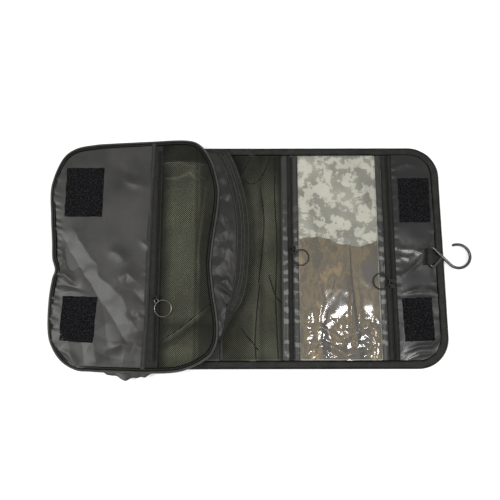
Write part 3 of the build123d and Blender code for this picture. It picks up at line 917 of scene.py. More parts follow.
# strip that covers the lid zipper, with two rows of stitching
seam_n = 160
t = np.linspace(0, 1, seam_n)
seam_x = SEAM_LOW[0] + (SEAM_TOP[0] - SEAM_LOW[0]) * t + 0.5 * np.sin(t * 7)
seam_y = -118.5 + 236.5 * t
prof = np.linspace(-1.6, STRIP_WIDE, 12)
crown = 0.55 * np.sin(np.clip((prof + 1.6) / (STRIP_WIDE + 1.6), 0, 1) * math.pi) ** 0.5
P = np.zeros((12, seam_n, 3))
P[..., 0] = seam_x[None] + prof[:, None]
P[..., 1] = seam_y[None]
P[..., 2] = LID_TOP + 0.08 + 0.8 * crown[:, None] + 0.08 * fbm(P[..., 0] * 0.4, P[..., 1], 16, 61, 2)
strip = cloth("lid_seam_strip", P, 0.8, STRIP, "lid")
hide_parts("lid_seam_fold")
rows = [np.stack([seam_x + o, seam_y, np.full(seam_n, LID_TOP + 0.42)], 1) for o in (-0.4, 2.3)]
stitches("lid_strip_stitches", [r[2:-2] for r in rows], THREAD, "lid", 2.6, 1.9, 0.45, 0.45)

# ------------------------------------------------------------ lid: net pocket half


def lid_back_height(x, y):
    z = np.full(np.shape(x), LID_LOW + 1.0)
    z = z + 0.5 * fbm(x, y, 34, 71, 2)
    z = z + crease(x, y, [(-106, 96), (-90, 97), (-70, 93)], 1.6, 1.1)
    z = z + crease(x, y, [(-106, 79), (-90, 80), (-78, 86), (-72, 80), (-64, 78)], 2.4, 1.5)
    z = z + crease(x, y, [(-67, 82), (-69, 40), (-74, -10), (-76, -45)], 2.2, -1.3)
    z = z + crease(x, y, [(-60, 76), (-64, 40), (-68, 0), (-66, -40)], 2.6, 1.2)
    z = z + crease(x, y, [(-56, 60), (-58, 20), (-62, -20), (-58, -48)], 2.4, -1.1)
    z = z + crease(x, y, [(-106, -92), (-86, -80), (-56, -56)], 3.0, 1.6)
    z = z + crease(x, y, [(-106, -104), (-84, -93), (-54, -72)], 3.4, -1.3)
    return np.clip(z, LID_LOW + 0.9, LID_TOP - 0.1)


right_part = between(inner, BR, TR)
zip_line = np.array([[-107.8, -118.0], [-107.6, 117.0]])
low_side = between(inner, nearest(inner, zip_line[0]), BR)
high_side = between(inner, TR, nearest(inner, zip_line[1]))[::-1]
left_line = np.stack([nearest(inner, zip_line[0]), nearest(inner, zip_line[1])])
XY = coons(resample(left_line, count=50), right_part, low_side, high_side, 80, 260)
P = np.concatenate([XY, lid_back_height(XY[..., 0], XY[..., 1])[..., None]], 2)
lid_back = cloth("lid_pocket_cloth", P, 0.4, OLIVE_LID, "lid")
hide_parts("lid_pocket_back")


def in_polygon(x, y, poly):
    inside = np.zeros(np.shape(x), bool)
    a, b = poly, np.roll(poly, -1, 0)
    for (x1, y1), (x2, y2) in zip(a, b):
        if y1 == y2:
            continue
        cross = (x2 - x1) * (y - y1) / (y2 - y1) + x1
        inside ^= ((y1 > y) != (y2 > y)) & (x < cross)
    return inside


LID_IN = outline_at(2.2)[::5]


def lid_net_inside(x, y):
    left = np.interp(y, zip_line[:, 1], zip_line[:, 0])
    return in_polygon(x, y, LID_IN) & (x > left)


def lid_net_height(x, y):
    back = lid_back_height(x, y)
    sag = LID_TOP - 0.5 + 0.25 * back - 0.25 * (LID_LOW + 1.0) + 0.3 * fbm(x, y, 22, 91, 2)
    return np.minimum(np.maximum(back + 0.35, sag), LID_TOP + 0.15)


lid_net = net("lid_net", lid_net_inside, lid_net_height, (-110, LID_RIGHT + 8, -121, 121), NET, "lid")
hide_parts("lid_mesh")
# folded second layers of the net, seen as darker bands, and a second layer over the lid's right side as painted
# shade
fold_line = np.array([(-107.0, -92.0), (-84.0, -77.0), (-52.0, -51.0)])


def band_inside(x, y):
    yc = np.interp(x, fold_line[:, 0], fold_line[:, 1])
    return lid_net_inside(x, y) & (y < yc) & (y > yc - 13.5)


net(
    "lid_net_fold", band_inside, lambda x, y: lid_net_height(x, y) - 0.45, (-110, LID_RIGHT + 8, -121, -40),
    NET, "lid", 2.1, 0.26
)


# painted shade: a second layer of net darkens the lid's right side
def shade_layer_inside(x, y):
    xc = np.interp(y, [-70, -20, 30, 80], [-66.0, -72.0, -70.0, -64.0])
    return lid_net_inside(x, y) & (x > xc) & (y > -58) & (y < 100)


net(
    "lid_net_shade_layer", shade_layer_inside, lambda x, y: lid_net_height(x, y) - 0.5, (-80, LID_RIGHT + 8, -60, 100),
    NET, "lid", 2.1, 0.2
)
hem = resample(fold_line, step=2.0)
hem = np.column_stack([hem, lid_net_height(hem[:, 0], hem[:, 1]) - 0.1])
tubes("lid_net_hem", [hem], 0.42, NET, "lid", 6)

paths = []
for f in (
    [(-104, 96), (-84, 97), (-62, 94)], [(-103, 79), (-88, 80), (-78, 84), (-71, 88), (-68, 82), (-62, 79)]
):
    p = resample(spline(f), step=1.5)
    paths.append(np.column_stack([p, lid_net_height(p[:, 0], p[:, 1]) - 0.05]))
tubes("lid_net_threads", paths, 0.3, PALE_THREAD, "lid", 6)

# ------------------------------------------------------------ lid: piping and its seam

pipe = np.column_stack(
    [outline_at(1.5), 22.6 - 1.6 + 0.25 * noise(np.arange(900) * 1.0, np.zeros(900), 24, 5)]
)
piping = tubes("lid_piping_cord", [pipe[::2]], 1.45, PIPE, "lid", 10, closed=True)
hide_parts("lid_piping")
flat = np.column_stack([outline_at(0.0), np.full(900, 19.7)])
profile = [(0.5, 0.3), (0.3, 1.4), (1.6, 2.5), (3.2, 2.95), (4.6, 2.85), (4.7, 2.3), (3.0, 1.2), (2.6, 0.2)]
welt = sweep(
    "lid_welt", flat[::2], OUT_IN[::2], profile, BIND, "lid", closed=True, ripple=0.1, seed=9
)
# near-black cords in the grooves beside the piping and under the lid's edge: painted shade of the grooves,
# partly dark thread
for name, inset, z, r in (
    ("lid_groove_inner", 5.1, LID_TOP - 0.1, 0.55), ("lid_groove", 2.9, LID_TOP + 0.1, 0.45),
    ("lid_groove_outer", 0.3, LID_LOW + 0.4, 0.5)
):
    tubes(
        name, [np.column_stack([outline_at(inset), np.full(900, z)])[::3]], r, THREAD, "lid", 6,
        closed=True
    )
line = np.column_stack([outline_at(3.9), np.full(900, LID_TOP + 0.3)])
stitches("lid_edge_stitches", [np.vstack([line, line[:1]])], THREAD, "lid", 2.8, 2.0, 0.45, 0.4)
pipe2 = np.column_stack([outline_at(0.9), np.full(900, LID_LOW - 0.6)])
tubes("lid_under_cord", [pipe2[::3]], 1.0, PIPE, "lid", 8, closed=True)

# inner lining seen when the lid is open
XY = coons(left_part[::-1], right_part, between(inner, BL, BR), between(inner, TR, TL)[::-1], 120, 160)
z = LID_LOW - 0.05 + 0.25 * fbm(XY[..., 0], XY[..., 1], 40, 13, 2) + 0.3
lining = slab(
    "lid_inner_lining",
    np.concatenate([XY, (z * 0 + LID_LOW + 0.45)[..., None]], 2),
    np.concatenate([XY, (z - 0.35)[..., None]], 2),
    LINING,
    "lid",
)
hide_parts("lid_lining")

# ------------------------------------------------------------ hook-and-loop pads


def pad(name, node, body, seed, turn):
    low, high = mm_box(node)
    cx, cy = (low[0] + high[0]) / 2, (low[1] + high[1]) / 2
    w, h = (high[0] - low[0]) / 2, (high[1] - low[1]) / 2
    n, m = int(w * 4), int(h * 4)
    u, v = np.meshgrid(np.linspace(-1, 1, n), np.linspace(-1, 1, m), indexing="ij")
    x = u * w * (1 + 0.008 * np.sin(v * 9)) + 0.25 * noise(u * 40, v * 40, 6, seed)
    y = v * h * (1 + 0.006 * np.sin(u * 8)) + 0.25 * noise(u * 40, v * 40, 6, seed + 1)
    X, Y = cx + x * math.cos(turn) - y * math.sin(turn), cy + x * math.sin(turn) + y * math.cos(turn)
    rng = np.random.default_rng(seed)
    rim = smooth((1 - np.maximum(np.abs(u) * 1.0, np.abs(v))) * w / 2.2)
    loops = rng.random((n, m)) ** 2 * 0.85 + 0.25 * noise(X, Y, 2.2, seed + 3)
    Z = low[2] + 0.55 + 0.35 * rim + loops * rim
    top = np.stack([X, Y, Z], 2)
    bottom = np.stack([X, Y, np.full_like(X, low[2] - 0.2)], 2)
    obj = slab(name, top, bottom, FUZZ, body, 180)
    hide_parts(node)
    corners = [
        (-w + 1.3, -h + 1.3), (w - 1.3, -h + 1.3), (w - 1.3, h - 1.3), (-w + 1.3, h - 1.3),
        (-w + 1.3, -h + 1.3)
    ]
    path = resample(np.array(corners), step=1.0)
    px = cx + path[:, 0] * math.cos(turn) - path[:, 1] * math.sin(turn)
    py = cy + path[:, 0] * math.sin(turn) + path[:, 1] * math.cos(turn)
    stitches(
        name + "_stitches", [np.column_stack([px, py, np.full(len(px), low[2] + 0.85)])], THREAD, body, 2.4,
        1.8, 0.5, 0.4
    )
    return obj


pad("lid_pad_top", "lid_patch_top", "lid", 101, 0.0)
pad("lid_pad_bottom", "lid_patch_bottom", "lid", 102, -0.045)
pad("flap_pad_top", "flap_patch_top", "flap", 103, 0.0)
pad("flap_pad_bottom", "flap_patch_bottom", "flap", 104, 0.03)

# ------------------------------------------------------------ zippers


def tooth_rows(name, node, x, z, y0, y1, body, pitch=1.25):
    """A closed nylon coil: two rows of small rounded teeth that meet in the middle."""
    verts, faces, count = [], [], 0
    ring_u = np.array([0, 60, 120, 180, 240, 300]) * math.pi / 180
    unit = [(0, 0, 1.0)]
    for level in (0.5, -0.4):
        r = math.sqrt(1 - level * level)
        unit += [(r * math.cos(a), r * math.sin(a), level) for a in ring_u]
    unit += [(0, 0, -1.0)]
    unit = np.array(unit)
    quads = [(0, 1 + k, 1 + (k + 1) % 6) for k in range(6)]
    quads += [(1 + k, 7 + k, 7 + (k + 1) % 6, 1 + (k + 1) % 6) for k in range(6)]
    quads += [(13, 7 + (k + 1) % 6, 7 + k) for k in range(6)]
    for i, y in enumerate(np.arange(y0, y1, pitch / 2)):
        side = 1 if i % 2 else -1
        a = side * 0.35
        p = unit * (1.25, 0.42, 0.55)
        q = np.stack(
            [
                p[:, 0] * math.cos(a) - p[:, 1] * math.sin(a),
                p[:, 0] * math.sin(a) + p[:, 1] * math.cos(a), p[:, 2]
            ],
            1
        )
        verts.append(q + (x + side * 0.75, y, z + 0.25))
        faces += [tuple(count + k for k in f) for f in quads]
        count += len(unit)
    obj = make(name, np.concatenate(verts), faces, BLACK, body, 80)
    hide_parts(node)
    return obj


def tape_strip(name, x0, x1, z, y0, y1, body, seed, lift=0.0, node=None):
    """One half of a zipper's tape, ribbed along its length."""
    n, m = max(6, int((x1 - x0) * 4)), 150
    X, Y = np.meshgrid(np.linspace(x0, x1, n), np.linspace(y0, y1, m), indexing="ij")
    Z = z + 0.08 * np.sin((X - x0) * 2 * math.pi / 1.3) + 0.1 * fbm(
        X * 0.3, Y, 20, seed, 2
    ) + lift * (X - x0) / (x1 - x0)
    obj = cloth(name, np.stack([X, Y, Z], 2), 0.5, TAPE, body)
    if node:
        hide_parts(node)
    return obj


Y_END = HALF - BINDING - 0.4
tape_low, tape_high = mm_box("lid_zip_tapes")
coil_low, coil_high = mm_box("lid_zip_coil")
cx = (coil_low[0] + coil_high[0]) / 2
tape_strip(
    "lid_tape_left", SEAM_LOW[0] + 1.5, cx - 0.3, LID_TOP - 0.7, -117.5, 117.5, "lid", 201,
    node="lid_zip_tapes"
)
tape_strip("lid_tape_right", cx + 0.3, tape_high[0] - 2, tape_high[2] - 0.4, -117, 117, "lid", 202)
tooth_rows("lid_coil", "lid_zip_coil", cx, tape_high[2] + 0.1, -110, 110, "lid")

for name, node_t, node_c, seed in (
    ("mesh", "mesh_zip_tapes", "mesh_zip_coil", 211), ("window", "window_zip_tapes", "window_zip_coil", 221)
):
    tape_low, tape_high = mm_box(node_t)
    coil_low, coil_high = mm_box(node_c)
    cx = (coil_low[0] + coil_high[0]) / 2
    tape_strip(
        name + "_tape_left", tape_low[0], cx - 0.35, tape_high[2], -Y_END, Y_END, "flap", seed, node=node_t
    )
    tape_strip(name + "_tape_right", cx + 0.35, tape_high[0], tape_high[2], -Y_END, Y_END, "flap", seed + 1)
    if name == "mesh":
        bpy.data.objects["mesh_tape_right"].data.materials[0] = NYLON_BAND
    tooth_rows(name + "_coil", node_c, cx, tape_high[2] + 0.1, -110, 110, "flap")
    ys = np.linspace(-Y_END + 1, Y_END - 1, 120)
    rows = [
        np.stack([np.full(120, o), ys, np.full(120, tape_high[2] + 0.12)], 1)
        for o in (tape_low[0] + 1.1, tape_high[0] - 1.1)
    ]
    stitches(name + "_zip_stitches", rows, THREAD, "flap", 2.8, 2.0, 0.45, 0.35)

# ------------------------------------------------------------ back shell
# It is made in two lengths, with extra rows of points near the folds.


def half_width(x, left_r, right_r, inset):
    """Half of the back's width at x, with rounded corners."""
    h = HALF - inset
    x = np.asarray(x, float)
    out = np.full(x.shape, h)
    if left_r:
        d = np.clip((LEFT + inset + left_r - inset) - x, 0, left_r - inset)
        out = out - (left_r - inset) + np.sqrt(np.maximum((left_r - inset) ** 2 - d**2, 0))
    if right_r:
        d = np.clip(x - (RIGHT - right_r), 0, right_r - inset)
        out = out - (right_r - inset) + np.sqrt(np.maximum((right_r - inset) ** 2 - d**2, 0))
    return out


def shell(name, x0, x1, left_r, right_r, seed):
    xs = np.unique(
        np.concatenate(
            [
                np.linspace(x0, x1, 150),
                np.linspace(FOLD_1 - 8, FOLD_1 + 8, 17),
                np.linspace(FOLD_2 - 8, FOLD_2 + 8, 17),
            ]
        )
    )
    xs = xs[(xs >= x0) & (xs <= x1)]
    v = np.linspace(-1, 1, 150)
    h = half_width(xs, left_r, right_r, 1.6)
    X, Y = hug(np.broadcast_to(xs[:, None], (len(xs), 150)).copy(), h[:, None] * v[None])
    wrinkle = 0.45 + 0.3 * fbm(X, Y, 46, seed, 3) + 0.25 * fbm(X * 0.4, Y, 18, seed + 5, 2)
    wrinkle = wrinkle + crease(X, Y, [(x0 + 20, -60), (x0 + 70, -20), (x0 + 110, 40)], 6, 0.5)
    low = np.clip(wrinkle, 0.12, 1.1) * smooth((h[:, None] * (1 - np.abs(v[None]))) / 10 + 0.25)
    top = np.full(X.shape, SHELL_TOP)
    obj = slab(name, np.stack([X, Y, top], 2), np.stack([X, Y, 0.12 + low * 0.8], 2), NYLON, None)
    return obj


MID = (FOLD_1 + FOLD_2) / 2
shell_a = shell("shell_left", LEFT + 1.6, MID, BASE_CORNER, 0, 301)
shell_b = shell("shell_right", MID, RIGHT - 1.6, 0, FLAP_CORNER, 302)
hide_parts("base_shell", "spine_shell")
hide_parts("flap_shell")
HINGE_1 = dict(start=((FOLD_1 - 4) * MM, 0, 0), end=((FOLD_1 + 4) * MM, 0, 0))
HINGE_2 = dict(start=((FOLD_2 - 4) * MM, 0, 0), end=((FOLD_2 + 4) * MM, 0, 0))
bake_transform(shell_a)
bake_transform(shell_b)

# ------------------------------------------------------------ edge binding


def edge_path(x_start, x_end, corner, side):
    """Outline in plan from x_start, round the far end at x_end and back, as points and inward normals."""
    r = corner
    cx = x_end - side * r
    straight = np.linspace(x_start, cx, 90)
    top = np.stack([straight, np.full(90, HALF)], 1)
    a = np.linspace(90, 0, 24) if side > 0 else np.linspace(90, 180, 24)
    a = np.radians(a)
    arc = np.stack([cx + r * np.cos(a), HALF - r + r * np.sin(a)], 1)
    down = np.stack([np.full(60, x_end), np.linspace(HALF - r, -HALF + r, 60)], 1)
    path = np.concatenate([top, arc[1:], down[1:]])
    mirror = path[::-1] * (1, -1)
    keep = mirror[:, 1] < -HALF + r + 1e-6
    path = np.concatenate([path, mirror[keep][1:]])
    path = resample(path, step=1.7)
    inward = plan_normals(path)
    if inward[len(path) // 2, 0] * side > 0:
        inward = -inward
    return path, inward


BIND_PROFILE = [
    (8.4, 0.0), (8.6, 1.6), (8.5, 2.75), (8.0, 3.05), (6.8, 3.02), (4.6, 3.2), (2.6, 3.22), (1.2, 3.0),
    (0.3, 2.35), (0.0, 1.5), (0.3, 0.5), (1.2, 0.0),
]
path, inward = edge_path(MID, RIGHT, FLAP_CORNER, 1)
bind_b = sweep("binding_right", path, inward, BIND_PROFILE, BIND, None, ripple=0.22, seed=21)
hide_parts("flap_binding", "spine_binding")
path_a, inward_a = edge_path(MID, LEFT, BASE_CORNER, -1)
path_a = np.stack(hug(path_a[:, 0], path_a[:, 1]), 1)
inward_a = plan_normals(path_a) * np.sign((plan_normals(path_a) * inward_a).sum(1, keepdims=True))
bind_a = sweep("binding_left", path_a, inward_a, BIND_PROFILE, BIND, None, ripple=0.22, seed=22)
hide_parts("base_binding")
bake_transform(bind_b)
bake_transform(bind_a)
for name, p, q, pair, hinge in (
    ("binding_right_stitches", path, inward, ("spine", "flap"), HINGE_2),
    ("binding_left_stitches", path_a, inward_a, ("base", "spine"), HINGE_1),
):
    row = np.column_stack([p + q * 7.3, np.full(len(p), 3.0)])
    row2 = np.column_stack([p + q * 1.9, np.full(len(p), 3.12)])
    obj = stitches(name, [row[2:-2], row2[2:-2]], THREAD, None, 2.8, 2.0, 0.7, 0.4)
    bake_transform(obj)
    # a near-black cord along the binding's inner edge: painted shade of the groove there, partly dark thread
    groove = np.column_stack([p + q * 8.5, np.full(len(p), 2.85)])
    obj = tubes(
        name.replace("stitches", "groove"), [resample(groove[2:-2], step=1.2)], 0.65, THREAD, None, 6,
    )
    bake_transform(obj)

# ------------------------------------------------------------ spine: cloth, folds and net


def spine_back_height(x, y):
    z = SHELL_TOP + 0.25 + 0.25 * fbm(x, y, 24, 401, 2)
    z = z + crease(x, y, [(-12, 112), (-18, 96), (-26, 84)], 2.2, 0.9)
    z = z + crease(x, y, [(8, 112), (2, 98), (-4, 84), (-12, 80)], 2.4, 1.0)
    z = z + crease(x, y, [(-2, 84), (8, 90), (18, 90)], 2.6, 0.5)
    z = z + crease(x, y, [(0, -20), (8, -40), (18, -50)], 3.0, 0.6)
    z = z + crease(x, y, [(-6, -30), (-8, -70), (-10, -108)], 3.0, 0.8)
    z = z + crease(x, y, [(4, 80), (2, 20), (4, -40)], 4.0, 0.5)
    return np.clip(z, SHELL_TOP + 0.1, 2.75)


xs, ys = np.linspace(FOLD_1 + 0.7, FOLD_2 - 0.6, 70), np.linspace(-Y_END, Y_END, 220)
X, Y = np.meshgrid(xs, ys, indexing="ij")
spine_cloth = cloth(
    "spine_cloth", np.stack([X, Y, spine_back_height(X, Y)], 2), 0.35, OLIVE_SPINE, "spine"
)
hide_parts("spine_backing")


def spine_net_height(x, y):
    return np.clip(spine_back_height(x, y) + 0.3, 2.3, 3.05) + 0.12 * fbm(x, y, 14, 404, 2)


spine_net = net(
    "spine_net",
    lambda x, y: (np.abs(y) < Y_END) & (x > FOLD_1 + 0.8) & (x < FOLD_2 - 0.5),
    spine_net_height,
    (FOLD_1, FOLD_2, -Y_END, Y_END),
    NET,
    "spine",
)
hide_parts("spine_mesh")
folds = [
    [(8.5, 111), (4, 98), (-2, 86), (-11, 79), (-20, 82)],
    [(-13, 111), (-19, 97), (-28, 84)],
    [(-4, -32), (-7, -60), (-9, -92), (-8, -110)],
    [(6, -22), (12, -42), (19, -52)],
    [(-24, -78), (-14, -90), (-6, -100)],
    [(-3, 74), (1, 40), (-1, 6), (-5, -30)],
    [(14, 110), (13, 62), (15, 12), (13, -46), (15, -110)],
]
paths = []
for f in folds:
    p = resample(spline(f), step=2.0)
    paths.append(np.column_stack([p, spine_net_height(p[:, 0], p[:, 1]) + 0.05]))
tubes("spine_net_folds", paths, 0.5, NET, "spine", 6)


# a second layer of net along the spine's folds darkens them: painted shade
def spine_shade_band(x, y):
    near = sum(crease(x, y, f, w, 1.0) for f, w in zip(folds, (3.6, 2.6, 2.0, 2.4, 2.0, 2.0, 1.6)))
    return (near > 0.45) & (np.abs(y) < Y_END) & (x > FOLD_1 + 0.8) & (x < FOLD_2 - 0.5)


net(
    "spine_net_shade_layer", spine_shade_band, lambda x, y: spine_net_height(x, y) - 0.35,
    (FOLD_1, FOLD_2, -Y_END, Y_END), NET, "spine", 2.1, 0.3
)
for side in (-1, 1):
    net(
        "corner_net_top" if side > 0 else "corner_net_low",
        lambda x, y: (side * y > 88) & (side * y < Y_END),
        lambda x, y: 3.3 + 0.2 * fbm(x, y, 14, 405, 2),
        (FOLD_1 - 20, FOLD_1 - 0.3, -Y_END, Y_END), NET, "base", 2.1, 0.27,
    )

# ------------------------------------------------------------ flap: bands, window, lining card


def flat_band(name, node, body, mat, seed, wave, crown=0.4, z_extra=0.0):
    low, high = mm_box(node)
    n, m = max(8, int(high[0] - low[0]) * 2), 200
    X, Y = np.meshgrid(np.linspace(low[0], high[0], n), np.linspace(low[1], high[1], m), indexing="ij")
    u = (X - low[0]) / (high[0] - low[0])
    Z = high[2] + z_extra - crown + crown * np.sin(u * math.pi) ** 0.5 + wave * fbm(X * 0.6, Y, 13, seed, 2)
    obj = cloth(name, np.stack([X, Y, Z], 2), 0.6, mat, body)
    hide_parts(node)
    return obj


flat_band("fold_band_cloth", "fold_band", "flap", NYLON_BAND, 501, 0.35)
flat_band("window_band_cloth", "window_band", "flap", NYLON_BAND, 502, 0.55)

low, high = mm_box("window_backing")
X, Y = np.meshgrid(np.linspace(low[0], high[0], 120), np.linspace(low[1], high[1], 220), indexing="ij")
Z = high[2] - 0.1 + 0.12 * fbm(X, Y, 22, 511, 2)
back = cloth("window_lining", np.stack([X, Y, Z], 2), 0.35, POCKET, "flap")
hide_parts("window_backing")

low, high = mm_box("liner_card")
n, m = 130, 180
X, V = np.meshgrid(np.linspace(low[0] - 2, high[0] + 2, n), np.linspace(0, 1, m), indexing="ij")
top_edge = high[1] + np.interp(
    X, [38, 58, 76, 95, 108, 124], [12, 16, 11, 5, 5, 11]
) + 1.2 * fbm(X, X * 0, 9, 521, 2)
Y = low[1] - 2 + (top_edge - low[1] + 2) * V


def card_height(x, y):
    z = 2.35 + 0.28 * fbm(x, y, 26, 531, 3)
    z = z + crease(x, y, [(92, 2), (93, -40), (90, -100)], 2.4, 0.55)
    z = z + crease(x, y, [(60, -20), (70, -50), (62, -95)], 3.0, 0.4)
    return np.clip(z, 2.05, 2.95)


def strip_sheet(name, path, widths, z, mat):
    p = resample(spline(path), count=60)
    w = np.interp(np.linspace(0, 1, 60), np.linspace(0, 1, len(widths)), widths)
    U = np.linspace(-0.5, 0.5, 7)[:, None]
    X = p[None, :, 0] + w[None] * U
    Y = np.broadcast_to(p[None, :, 1], X.shape)
    return cloth(name, np.stack([X, Y, card_height(X, Y) + z], 2), 0.15, mat, "flap")


# dark strips laid on the card along its creases: painted shade
strip_sheet(
    "crease_shade_sheet_long", [(93.5, 12), (94, -20), (97, -60), (103, -110)], (0.8, 1.6, 2.6, 4.2, 5.0), 0.2,
    SHADE
)
strip_sheet(
    "crease_shade_sheet_left", [(76, -28), (70, -52), (64, -80), (67, -109)], (0.6, 1.4, 2.2, 8.0, 9.0), 0.2, SHADE
)
card = cloth("liner_card_sheet", np.stack([X, Y, card_height(X, Y)], 2), 0.25, CARD, "flap")
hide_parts("liner_card")


def film_height(x, y):
    low, high = mm_box("window")
    z = high[2] + 0.3 + 0.22 * fbm(x, y, 34, 541, 2)
    z = z + crease(x, y, [(93, 0), (95, -40), (91, -75), (90, -110)], 3.0, -0.6)
    z = z + crease(x, y, [(99, -30), (101, -60), (97, -100)], 2.6, 0.9)
    z = z + crease(x, y, [(56, -18), (62, -50), (52, -100)], 3.0, 0.6)
    z = z + crease(x, y, [(44, -84), (60, -76), (80, -90), (104, -80), (120, -92)], 2.2, 1.0)
    z = z + crease(x, y, [(42, -98), (62, -92), (86, -106), (118, -97)], 2.0, 1.1)
    z = z + crease(x, y, [(70, 96), (92, 78), (118, 70)], 6.0, 0.4)
    low_half = smooth((-56 - y) / 24)
    z = z + low_half * (1.7 * crumple(x, y, 10.0, 547) + 0.5 * crumple(x, y, 4.2, 557) - 0.95) + 0.08 * fbm(
        x, y, 9, 549, 2
    )
    calm = (
        smooth(np.minimum(x - low[0], high[0] - x) / 10.0) * smooth(np.minimum(y - low[1], high[1] - y) / 4.0)
    )
    tilt = 0.11 * np.maximum(x - high[0] + 3, 0)
    return np.clip(high[2] - 0.1 + (z - high[2] + 0.1) * calm, 3.15, 6) - tilt


low, high = mm_box("window")
X, Y = np.meshgrid(
    np.linspace(low[0] - 0.3, high[0] + 0.3, 200), np.linspace(low[1], high[1], 460), indexing="ij"
)
P = np.stack([X, Y, film_height(X, Y)], 2)
film = make("window_sheet", P.reshape(-1, 3), grid_faces(200, 460), FILM, "flap", 60)
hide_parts("window")

# ------------------------------------------------------------ flap: nylon panel with the hook

low, high = mm_box("hang_panel")


def panel_height(x, y):
    z = high[2] + 0.1 + 0.55 * fbm(x, y, 30, 601, 2)
    z = z + crease(x, y, [(144, 6), (161, 5), (171, 1), (169, -6), (158, -16), (146, -24)], 2.6, 0.9)
    z = z + crease(x, y, [(147, -2), (156, -4), (163, 0)], 2.2, 0.6)
    z = z + crease(x, y, [(147, -42), (161, -38), (177, -38), (186, -43)], 2.4, 0.9)
    z = z + crease(x, y, [(148, -46.5), (166, -46), (184, -46.5)], 1.5, 0.5)
    z = z + crease(x, y, [(148, -102), (160, -97), (174, -96), (186, -86)], 2.6, 1.0)
    z = z + crease(x, y, [(150, -110), (162, -105), (176, -104)], 2.4, 0.7)
    z = z + crease(x, y, [(146, 96), (158, 102), (172, 98)], 4.0, 0.6)
    near = np.minimum(x - low[0], high[0] - x)
    z = z + 0.4 * noise(y, x * 0.2, 4.4, 611) * smooth(1 - near / 8.0)
    return np.clip(z, 2.1, 5.2)


xs = np.linspace(low[0], high[0], 90)
h = np.minimum(half_width(xs, 0, FLAP_CORNER, BINDING - 0.6), Y_END)
v = np.linspace(-1, 1, 330)
X, Y = np.broadcast_to(xs[:, None], (90, 330)).copy(), h[:, None] * v[None]
panel = cloth("hang_panel_cloth", np.stack([X, Y, panel_height(X, Y)], 2), 0.7, NYLON_DARK, "flap")
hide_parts("hang_panel")

# fabric loop that holds the hook, a flattened sleeve sewn down on both sides
low, high = mm_box("hook_tube")
cx = (low[0] + high[0]) / 2
ang = np.linspace(0, math.pi, 22)
ys = np.linspace(low[1] - 1.6, high[1] + 2.4, 40)
P = np.zeros((len(ang) + 8, 40, 3))
for i in range(len(ang) + 8):
    if i < 4:
        px, pz = cx - 3.9 - (4 - i) * 0.9, low[2] + 0.45
    elif i >= len(ang) + 4:
        px, pz = cx + 3.9 + (i - len(ang) - 3) * 0.9, low[2] + 0.45
    else:
        a = math.pi - ang[i - 4]
        px, pz = cx + 3.9 * math.cos(a), low[2] + 0.3 + 4.6 * math.sin(a) ** 0.7
    P[i, :, 0] = px + 0.25 * noise(ys, ys * 0 + i, 6, 651)
    P[i, :, 1] = ys
    P[i, :, 2] = pz + 0.2 * noise(ys, ys * 0 + i * 0.4, 5, 655) + 0.22 * np.sin(ys * 2 * math.pi / 2.4)
loop = cloth("hook_loop", P, 0.5, BIND, "flap", 70)
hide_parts("hook_tube")

# ------------------------------------------------------------ gusset

# The soft wall's fold line, as (y, x). It started from the same readings and was then moved.
PLEAT = np.array(
    [
        (112, -46), (103, -40), (92, -35.0), (77, -30.0), (52, -24.0), (24, -21.5), (-5, -22.0),
        (-28, -24.0), (-48, -29.0), (-62, -35.0), (-75, -39.0), (-88, -43.5), (-97, -47)
    ]
)
PLEAT = spline(PLEAT, per=14)[::-1]


def apex(y):
    return np.interp(y, PLEAT[:, 0], PLEAT[:, 1])


RIGHT_EDGE = between(outline_at(1.0), BR, TR)
RIGHT_EDGE = RIGHT_EDGE[np.argsort(RIGHT_EDGE[:, 1])]


def lid_edge(y):
    return np.interp(y, RIGHT_EDGE[:, 1], RIGHT_EDGE[:, 0])


n, m = 60, 260
v = np.linspace(-86, 110, m)
inner_x = lid_edge(v) - 5.0
outer_x = np.maximum(
    apex(v) - 6.6 * np.interp(v, [-94, -80, -62, -48], [0.08, 0.14, 0.58, 1.0]), inner_x + 0.8
)
U = np.linspace(0, 1, n)[:, None]
X = inner_x[None] + (outer_x - inner_x)[None] * U
Y = np.broadcast_to(v[None], X.shape)
Z = 19.9 - 4.6 * U**0.8 * np.ones_like(X)
Z = Z + 1.3 * fbm(X, Y, 34, 701, 2) * np.sin(U * math.pi) + 0.8 * crease(
    X, Y, [(-44, 60), (-38, 20), (-40, -20)], 5, 1.5
)
Z = Z + crease(
    X, Y, [(-46, -34), (-38, -40), (-31, -46)], 2.2, 2.4
) + crease(X, Y, [(-44, -30), (-38, -28), (-33, -38)], 2.2, 1.6)
Z = Z + crease(
    X, Y, [(-42, -46), (-36, -56), (-33, -66)], 2.4, -1.6
) + crease(X, Y, [(-46, 30), (-36, 8), (-28, -20)], 4, 0.9)
Z = Z + 2.6 * (crumple(X, Y, 11, 711) - 0.5) * np.sin(U * math.pi)
gusset = cloth("gusset_band", np.stack([X, Y, Z], 2), 0.7, GUSSET_SHADED_NYLON, None)
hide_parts("pleat_up_leaf")
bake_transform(gusset)


